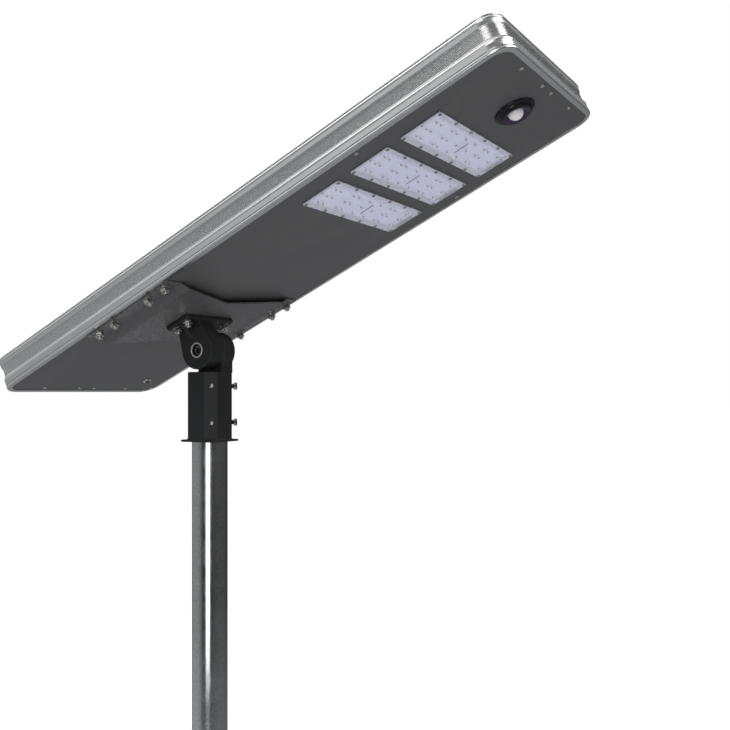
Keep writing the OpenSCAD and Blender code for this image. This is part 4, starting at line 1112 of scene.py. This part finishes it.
def build_button():
    barrel = node_box("button_barrel")
    cap = node_box("button_cap")
    seat = node_box("bottom_panel")[0].z
    place = underside_place("button_barrel")
    outer = (barrel[1].x - barrel[0].x) / 2
    tall = seat - barrel[0].z
    reach = (cap[1].x - cap[0].x) / 2
    bore = reach + CAP_CLEARANCE
    neck = outer - 2 * MM
    outline = [
        (bore, -6 * MM), (neck, -6 * MM), (neck, 0), (outer, 0), (outer, tall - 1 * MM),
        (outer - 1 * MM, tall), (bore + 0.4 * MM, tall), (bore, tall - 0.4 * MM),
    ]
    ring = round_turned(outline, 0.6 * MM, 64)
    put("button_rim", ring, place, "head", "stainless", "button_barrel", look="satin_ring")
    crown = seat - cap[0].z
    foot = -3.6 * MM
    rings = [
        (reach * 0.5, foot), (reach, foot), (reach, crown - 1 * MM), (reach - 0.3 * MM, crown - 0.35 * MM),
        (reach - 0.9 * MM, crown - 0.05 * MM), (reach * 0.6, crown), (reach * 0.5, crown - 0.2 * MM),
        (0.2 * MM, crown - 0.3 * MM),
    ]
    put("button_pad", turned(rings, 64), place, "power_button", "black_rubber", "button_cap")
    dress("stainless", "button_nut")


# ---------- solar face ----------

def build_solar_face():
    dress("cover_glass", "solar_glass")
    dress("mono_cell", "solar_cells")
    dress("tinned_ribbon", "cell_ribbons")
    dress("backsheet_grey", "backsheet")
    dress("black_rubber", "laminate_seal")


# ---------- bracket and knuckle ----------

BRACKET_SHEET = 3 * MM
M8_RADIUS = 4 * MM
M8_PITCH = 1.25 * MM
HEX_HEAD = 5.3 * MM
PIVOT_RADIUS = 6 * MM


def build_bracket():
    """Folded sheet: two feet, two sloped webs and a flat middle with a notch cut into each end."""
    low, high = node_box("bracket")
    points = [HEAD.inverted() @ v.co for v in frame["nodes"]["bracket"].data.vertices]
    tol = 0.05 * MM
    foot_in = min(abs(p.y) for p in points if abs(p.z - high.z) < tol)
    web_in = max(abs(p.y) for p in points if abs(p.z - low.z) < tol)
    half = (high.x - low.x) / 2
    notch = half - min(abs(p.x) for p in points if abs(p.y) < 20 * MM and abs(p.x) > half / 2)
    half_thick = BRACKET_SHEET / 2
    bend = sizes().bend
    flat_z = low.z + half_thick
    middle_line = [
        Vector((low.y, high.z - half_thick)), Vector((-foot_in - 0.5 * MM, high.z - half_thick)),
        Vector((-web_in + 0.5 * MM, flat_z)), Vector((0, flat_z)),
    ]
    path = [middle_line[0]]
    for k in (1, 2):
        here = middle_line[k]
        start = here + (middle_line[k - 1] - here).normalized() * bend
        end = here + (middle_line[k + 1] - here).normalized() * bend
        path += eased(start, here, end, 6)
    path += [Vector((y * MM, flat_z)) for y in range(-104, 0, 8)]
    path += [Vector((0, flat_z))]
    path += [Vector((-p.x, p.y)) for p in path[-2::-1]]
    bm = bmesh.new()
    loops = []
    edge = 0.6 * MM
    for k, spot in enumerate(path):
        ahead = path[min(k + 1, len(path) - 1)] - path[max(k - 1, 0)]
        normal = Vector((-ahead.y, ahead.x)).normalized()
        reach = half - notch * max(0.0, 1 - abs(spot.x) / web_in)
        square = [(-reach, half_thick), (reach, half_thick), (reach, -half_thick), (-reach, -half_thick)]
        section = fillet(square, edge)
        loops.append([(x, spot.x + normal.x * n, spot.y + normal.y * n) for x, n in section])
    join_loops(bm, loops)
    put("folded_bracket", bm, HEAD, "head", "bracket_charcoal", "bracket", flat=True)


def build_bolt_set(kind, seed):
    """Bolts, washers and nuts of one pattern, all pointing down from the head."""
    bolts = solids(f"{kind}_bolts")
    nuts = solids(f"{kind}_nuts")
    washers = solids(f"{kind}_washers")
    across = nuts[0][1].y - nuts[0][0].y
    spin = random.Random(seed)
    turns = [spin.uniform(0, TAU) for _ in bolts]
    under = bolts[0][1].z - HEX_HEAD
    reach = under - bolts[0][0].z
    places = [upright(middle(b).x, middle(b).y, under, t) for b, t in zip(bolts, turns)]
    mesh = repeated(hex_bolt_mesh(across, HEX_HEAD, M8_RADIUS, reach, M8_PITCH, 14 * MM), places)
    put(f"{kind}_set_bolts", mesh, HEAD, "head", "stainless", f"{kind}_bolts")
    places = [upright(middle(b).x, middle(b).y, b[0].z, spin.uniform(0, TAU)) for b in nuts]
    mesh = repeated(nut_mesh(across, nuts[0][1].z - nuts[0][0].z, M8_RADIUS), places)
    put(f"{kind}_set_nuts", mesh, HEAD, "head", "stainless", f"{kind}_nuts")
    places = [upright(middle(b).x, middle(b).y, b[0].z) for b in washers]
    outer = (washers[0][1].x - washers[0][0].x) / 2
    mesh = repeated(washer_mesh(outer, M8_RADIUS, washers[0][1].z - washers[0][0].z), places)
    put(f"{kind}_set_washers", mesh, HEAD, "head", "stainless", f"{kind}_washers")


def build_knuckle():
    upper = cast_skin(cad_mesh("knuckle_upper", HEAD), sizes().cast_grain)
    put("upper_knuckle", upper, HEAD, "head", "black_casting", "knuckle_upper")
    ring = node_box("pivot_ring")
    across = Matrix.Translation((0, ring[0].y, 0)) @ Matrix.Rotation(-math.pi / 2, 4, "X")
    outer = (ring[1].x - ring[0].x) / 2
    inner = outer - 2.4 * MM
    tall = ring[1].y - ring[0].y
    sunk = -0.3 * MM
    bright = round_turned([(inner, sunk), (outer, sunk), (outer, tall), (inner, tall)], 0.4 * MM, 72)
    put("recess_ring", bright, HEAD @ across, "head", "stainless", "pivot_ring", look="satin_ring")


def build_pivot():
    """Pivot bolt from the right-hand side, with its washer and nut sunk in the other half."""
    bolt = node_box("pivot_bolt", WORLD)
    washer = node_box("pivot_washer", WORLD)
    nut = node_box("pivot_nut", WORLD)
    body = body_of_node("pivot_bolt")

    def across_hinge(y):
        return Matrix.Translation((HINGE.x, y, HINGE.z)) @ Matrix.Rotation(math.pi / 2, 4, "X")

    head_h = 8 * MM
    seat = bolt[0].y + head_h
    head_r = (bolt[1].x - bolt[0].x) / 2
    mesh = socket_screw_mesh(head_r, head_h, 10 * MM, PIVOT_RADIUS, bolt[1].y - seat, 1.75 * MM)
    put("pivot_screw", repeated(mesh, [WORLD]), across_hinge(seat), body, "black_steel", "pivot_bolt")
    mesh = washer_mesh((washer[1].x - washer[0].x) / 2, PIVOT_RADIUS, washer[1].y - washer[0].y)
    put("pivot_disc", repeated(mesh, [WORLD]), across_hinge(washer[1].y), body, "stainless", "pivot_washer")
    mesh = nut_mesh(19 * MM, nut[1].y - nut[0].y, PIVOT_RADIUS)
    put("pivot_hexagon", repeated(mesh, [WORLD]), across_hinge(nut[1].y), body, "stainless", "pivot_nut")


def body_of_node(name):
    return frame["nodes"][name]["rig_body"]


# ---------- sleeve and pole ----------

CLAMP_HEAD_R = 6.2 * MM
CLAMP_HEAD_H = 6 * MM
WELD_WAVES = 64
WELD_RIPPLE = 0.14


def build_sleeve():
    sleeve = cast_skin(cad_mesh("pole_sleeve", WORLD), sizes().cast_grain)
    put("cast_sleeve", sleeve, WORLD, "sleeve", "black_casting", "pole_sleeve")
    places = []
    spin = random.Random(11)
    reach = 0.0
    for low, high in solids("clamp_screws", WORLD):
        spot = middle((low, high))
        angle = math.atan2(spot.y, spot.x)
        out = Vector((math.cos(angle), math.sin(angle), 0))
        far = max(Vector((abs(end.x), abs(end.y))).length for end in (low, high))
        reach = far - CLAMP_HEAD_R - CLAMP_HEAD_H
        turn = Matrix.Rotation(angle, 4, "Z") @ Matrix.Rotation(TAU / 4, 4, "Y")
        turn = turn @ Matrix.Rotation(spin.uniform(0, TAU), 4, "Z")
        places.append(Matrix.Translation(out * reach + Vector((0, 0, spot.z))) @ turn)
    shank = reach - node_box("pole_tube", WORLD)[1].x - 0.3 * MM
    mesh = socket_screw_mesh(
        CLAMP_HEAD_R, CLAMP_HEAD_H, 6 * MM, M8_RADIUS, shank, M8_PITCH, knurls=48)
    put("clamp_cap_screws", repeated(mesh, places), WORLD, body_of_node("clamp_screws"), "stainless",
        "clamp_screws", look="dull_screw")


def weld_bead(radius, height):
    """Rippled bead round the pole where it meets its foot."""
    size = sizes().weld
    bead = [(1.2, -0.1), (1.15, 0.15), (0.85, 0.6), (0.45, 0.95), (0.05, 1.15)]

    def rippled(share):
        return lambda angle: radius + size * share * (1 + WELD_RIPPLE * math.sin(WELD_WAVES * angle))

    inner = radius - size * 0.1
    rings = [(inner, height - size * 0.1)]
    rings += [(rippled(share), height + size * lift) for share, lift in bead]
    rings.append((inner, height + size * 1.15))
    return turned(rings, WELD_WAVES * 6, closed=True)


def build_pole():
    low, high = node_box("pole_tube", WORLD)
    outer = high.x
    inner = outer - 2.5 * MM
    edge = 0.5 * MM
    rings = [
        (outer - edge, low.z), (outer, low.z + edge), (outer, high.z - edge), (outer - edge, high.z),
        (inner + edge, high.z), (inner, high.z - edge), (inner, low.z + edge), (inner + edge, low.z),
    ]
    put("steel_tube", turned(rings, 128, closed=True), WORLD, "pole", "pole_steel", "pole_tube")
    bead = weld_bead(outer, node_box("base_plate", WORLD)[1].z)
    put("foot_weld", bead, WORLD, "pole", "pole_steel")
    plate = soft_edges(cad_mesh("base_plate", WORLD), 1 * MM, 3)
    put("foot_plate", plate, WORLD, "pole", "pole_steel", "base_plate", flat=True)
    stiff = soft_edges(cad_mesh("base_gussets", WORLD), 0.6 * MM)
    put("foot_ribs", stiff, WORLD, "pole", "pole_steel", "base_gussets", flat=True)


# ---------- inside ----------

INNER = {
    "black_rubber": ["junction_box"],
    "plated_steel": ["battery_tray", "battery_straps", "strap_screws"],
    "cell_wrap": ["battery_cells"],
    "holder_black": ["cell_holders"],
    "bare_aluminium": ["controller_case"],
    "circuit_green": ["controller_board"],
    "loom_red": ["wiring_loom"],
}


# ---------- stage ----------

CAMERA_SPOT = Vector((1.080, -1.1966, 0.683))
CAMERA_TURN = math.radians(27.13)
CAMERA_LENS = 44.3
CAMERA_SHIFT = (-0.1158, 0.0375)
TOWARD = Vector((math.sin(CAMERA_TURN), -math.cos(CAMERA_TURN), 0))
LEFT = Vector((-math.cos(CAMERA_TURN), -math.sin(CAMERA_TURN), 0))
STUDIO_CENTRE = Vector((0, 0, 0.75))
FLOOR_RADIUS = 60.0


def studio_world():
    """White behind the object, and a soft grey studio for what the metal mirrors."""
    world = bpy.data.worlds.new("studio")
    bpy.context.scene.world = world
    world.use_nodes = True
    tree = world.node_tree
    tree.nodes.clear()
    way = node(tree, "ShaderNodeTexCoord").outputs["Generated"]
    height = node(tree, "ShaderNodeSeparateXYZ", {0: way}).outputs["Z"]
    side = node(tree, "ShaderNodeVectorMath", {0: way, 1: LEFT}, operation="DOT_PRODUCT").outputs["Value"]
    upper = between(tree, height, 0.15, 0.75, 1.0, 5.0)
    lower = between(tree, height, -0.45, -0.22, 0.26, 0.0)
    left_wall = between(tree, side, 0.5, 0.88, 0.05, 0.4)
    right_wall = between(tree, side, -0.95, -0.3, 0.06, 0.0)
    flank = maths(tree, "ADD", left_wall, right_wall)
    glow = maths(tree, "ADD", maths(tree, "MULTIPLY", upper, flank), lower)
    grey = node(tree, "ShaderNodeBackground", {"Color": (0.96, 0.98, 1, 1), "Strength": glow})
    white = node(tree, "ShaderNodeBackground", {"Color": (1, 1, 1, 1), "Strength": 1.0})
    seen = node(tree, "ShaderNodeLightPath").outputs["Is Camera Ray"]
    mixed = node(tree, "ShaderNodeMixShader", {0: seen, 1: grey.outputs[0], 2: white.outputs[0]})
    tree.links.new(mixed.outputs[0], node(tree, "ShaderNodeOutputWorld").inputs[0])


def floor_finish():
    """Pale matt floor that is bright enough to meet the white behind it, and clear from below."""
    made, tree, shader = start_material("pale_floor", Roughness=0.9, Base_Color=(0.35, 0.35, 0.35, 1))
    grain = use_group(tree, "Surface Grain", {"Grains per Metre": 60, "Patches per Metre": 2})
    tone = blend_colour(tree, grain["Patches"], (0.99, 0.99, 0.99, 1), (1, 1, 1, 1))
    tree.links.new(tone, shader.inputs["Emission Color"])
    shader.inputs["Emission Strength"].default_value = 0.9
    under = node(tree, "ShaderNodeBsdfTransparent")
    behind = geometry(tree, "Backfacing")
    mixed = node(tree, "ShaderNodeMixShader", {0: behind, 1: shader.outputs[0], 2: under.outputs[0]})
    output = next(n for n in tree.nodes if n.type == "OUTPUT_MATERIAL")
    tree.links.new(mixed.outputs[0], output.inputs[0])
    return made


def add_softbox(name, spot, width, height, power):
    """A rectangular area light that looks at the middle of the lamp."""
    light = bpy.data.lights.new(name, "AREA")
    light.shape = "RECTANGLE"
    light.size = width
    light.size_y = height
    light.energy = power
    lamp = bpy.data.objects.new(name, light)
    bpy.context.scene.collection.objects.link(lamp)
    lamp.location = spot
    lamp.rotation_euler = (STUDIO_CENTRE - spot).to_track_quat("-Z", "Y").to_euler()


def floor_disc():
    bm = bmesh.new()
    angles = [TAU * k / 64 for k in range(64)]
    rim = [bm.verts.new((FLOOR_RADIUS * math.cos(a), FLOOR_RADIUS * math.sin(a), 0)) for a in angles]
    bm.faces.new(rim)
    mesh = bpy.data.meshes.new("floor")
    bm.to_mesh(mesh)
    bm.free()
    mesh.materials.append(floor_finish())
    return mesh


def build_stage():
    scene = bpy.context.scene
    scene.view_settings.view_transform = "Standard"
    floor = bpy.data.objects.new("floor", floor_disc())
    scene.collection.objects.link(floor)
    floor.visible_glossy = False
    studio_world()
    up = Vector((0, 0, 1))
    add_softbox("front_strip", STUDIO_CENTRE + TOWARD * 2.6 - LEFT * 0.1, 1.1, 2.6, 32)
    add_softbox("top_box", STUDIO_CENTRE + up * 2.2 + LEFT * 0.6, 2.4, 2.4, 24)
    add_softbox("right_box", STUDIO_CENTRE - LEFT * 2.0 + TOWARD * 0.6 + up * 1.6, 1.4, 1.4, 36)
    camera = bpy.data.objects.new("camera", bpy.data.cameras.new("camera"))
    scene.collection.objects.link(camera)
    camera.data.lens = CAMERA_LENS
    camera.data.sensor_width = 36
    camera.data.shift_x, camera.data.shift_y = CAMERA_SHIFT
    camera.location = CAMERA_SPOT
    camera.rotation_euler = (TAU / 4, 0, CAMERA_TURN)
    scene.camera = camera


# ---------- operators ----------

class LAMP_OT_frame(Operator):
    """Bend the aluminium extrusion round the head"""
    bl_idname = "lamp.frame"
    bl_label = "Frame"
    bl_options = {"REGISTER", "UNDO"}

    def execute(self, context):
        build_rail()
        return {"FINISHED"}


class LAMP_OT_solar_face(Operator):
    """Finish the glass, the cells and what holds them"""
    bl_idname = "lamp.solar_face"
    bl_label = "Solar Face"
    bl_options = {"REGISTER", "UNDO"}

    def execute(self, context):
        build_solar_face()
        return {"FINISHED"}


class LAMP_OT_underside(Operator):
    """Build the underside panel and its screws"""
    bl_idname = "lamp.underside"
    bl_label = "Underside Panel"
    bl_options = {"REGISTER", "UNDO"}

    def execute(self, context):
        build_panel()
        return {"FINISHED"}


class LAMP_OT_led_modules(Operator):
    """Build the three LED modules"""
    bl_idname = "lamp.led_modules"
    bl_label = "LED Modules"
    bl_options = {"REGISTER", "UNDO"}

    def execute(self, context):
        for number in (1, 2, 3):
            build_module(number)
        fit_cross_screws("lens_plate_screws", "lens_screws", 1.2 * MM, 0.52, 5)
        return {"FINISHED"}


class LAMP_OT_sensor(Operator):
    """Build the motion sensor"""
    bl_idname = "lamp.sensor"
    bl_label = "Motion Sensor"
    bl_options = {"REGISTER", "UNDO"}

    def execute(self, context):
        build_sensor()
        return {"FINISHED"}


class LAMP_OT_button(Operator):
    """Build the power button"""
    bl_idname = "lamp.button"
    bl_label = "Power Button"
    bl_options = {"REGISTER", "UNDO"}

    def execute(self, context):
        build_button()
        return {"FINISHED"}


class LAMP_OT_bracket(Operator):
    """Fold the bracket and bolt it to the head and to the flange"""
    bl_idname = "lamp.bracket"
    bl_label = "Bracket"
    bl_options = {"REGISTER", "UNDO"}

    def execute(self, context):
        build_bracket()
        build_bolt_set("foot", 7)
        build_bolt_set("flange", 8)
        return {"FINISHED"}


class LAMP_OT_knuckle(Operator):
    """Cast the upper knuckle and fit the pivot"""
    bl_idname = "lamp.knuckle"
    bl_label = "Knuckle"
    bl_options = {"REGISTER", "UNDO"}

    def execute(self, context):
        build_knuckle()
        build_pivot()
        return {"FINISHED"}


class LAMP_OT_sleeve(Operator):
    """Cast the sleeve and fit its clamp screws"""
    bl_idname = "lamp.sleeve"
    bl_label = "Sleeve"
    bl_options = {"REGISTER", "UNDO"}

    def execute(self, context):
        build_sleeve()
        return {"FINISHED"}


class LAMP_OT_pole(Operator):
    """Build the pole and its foot"""
    bl_idname = "lamp.pole"
    bl_label = "Pole"
    bl_options = {"REGISTER", "UNDO"}

    def execute(self, context):
        build_pole()
        return {"FINISHED"}


class LAMP_OT_inside(Operator):
    """Finish the battery, the controller and the wiring"""
    bl_idname = "lamp.inside"
    bl_label = "Inside"
    bl_options = {"REGISTER", "UNDO"}

    def execute(self, context):
        for name, nodes in INNER.items():
            dress(name, *nodes)
        return {"FINISHED"}


class LAMP_OT_stage(Operator):
    """Set up the floor, the lights and the camera"""
    bl_idname = "lamp.stage"
    bl_label = "Stage"
    bl_options = {"REGISTER", "UNDO"}

    def execute(self, context):
        build_stage()
        return {"FINISHED"}


STEPS = (
    LAMP_OT_frame, LAMP_OT_solar_face, LAMP_OT_underside, LAMP_OT_led_modules, LAMP_OT_sensor,
    LAMP_OT_button, LAMP_OT_bracket, LAMP_OT_knuckle, LAMP_OT_sleeve, LAMP_OT_pole, LAMP_OT_inside,
    LAMP_OT_stage,
)


class LAMP_PT_panel(Panel):
    """Steps and settings of the street lamp"""
    bl_idname = "LAMP_PT_panel"
    bl_label = "Solar Street Lamp"
    bl_space_type = "VIEW_3D"
    bl_region_type = "UI"
    bl_category = "Street Lamp"

    def draw(self, context):
        column = self.layout.column(align=True)
        for step in STEPS:
            column.operator(step.bl_idname)
        for settings in (context.scene.lamp_sizes, context.scene.lamp_colours):
            box = self.layout.box()
            for name in settings.__annotations__:
                box.prop(settings, name)


CLASSES = (LampColours, LampSizes, *STEPS, LAMP_PT_panel)


def register():
    for cls in CLASSES:
        bpy.utils.register_class(cls)
    bpy.types.Scene.lamp_colours = PointerProperty(type=LampColours)
    bpy.types.Scene.lamp_sizes = PointerProperty(type=LampSizes)


def unregister():
    del bpy.types.Scene.lamp_sizes
    del bpy.types.Scene.lamp_colours
    for cls in reversed(CLASSES):
        bpy.utils.unregister_class(cls)


def main():
    register()
    for step in STEPS:
        getattr(bpy.ops.lamp, step.bl_idname.split(".")[1])()


if __name__ == "__main__":
    main()
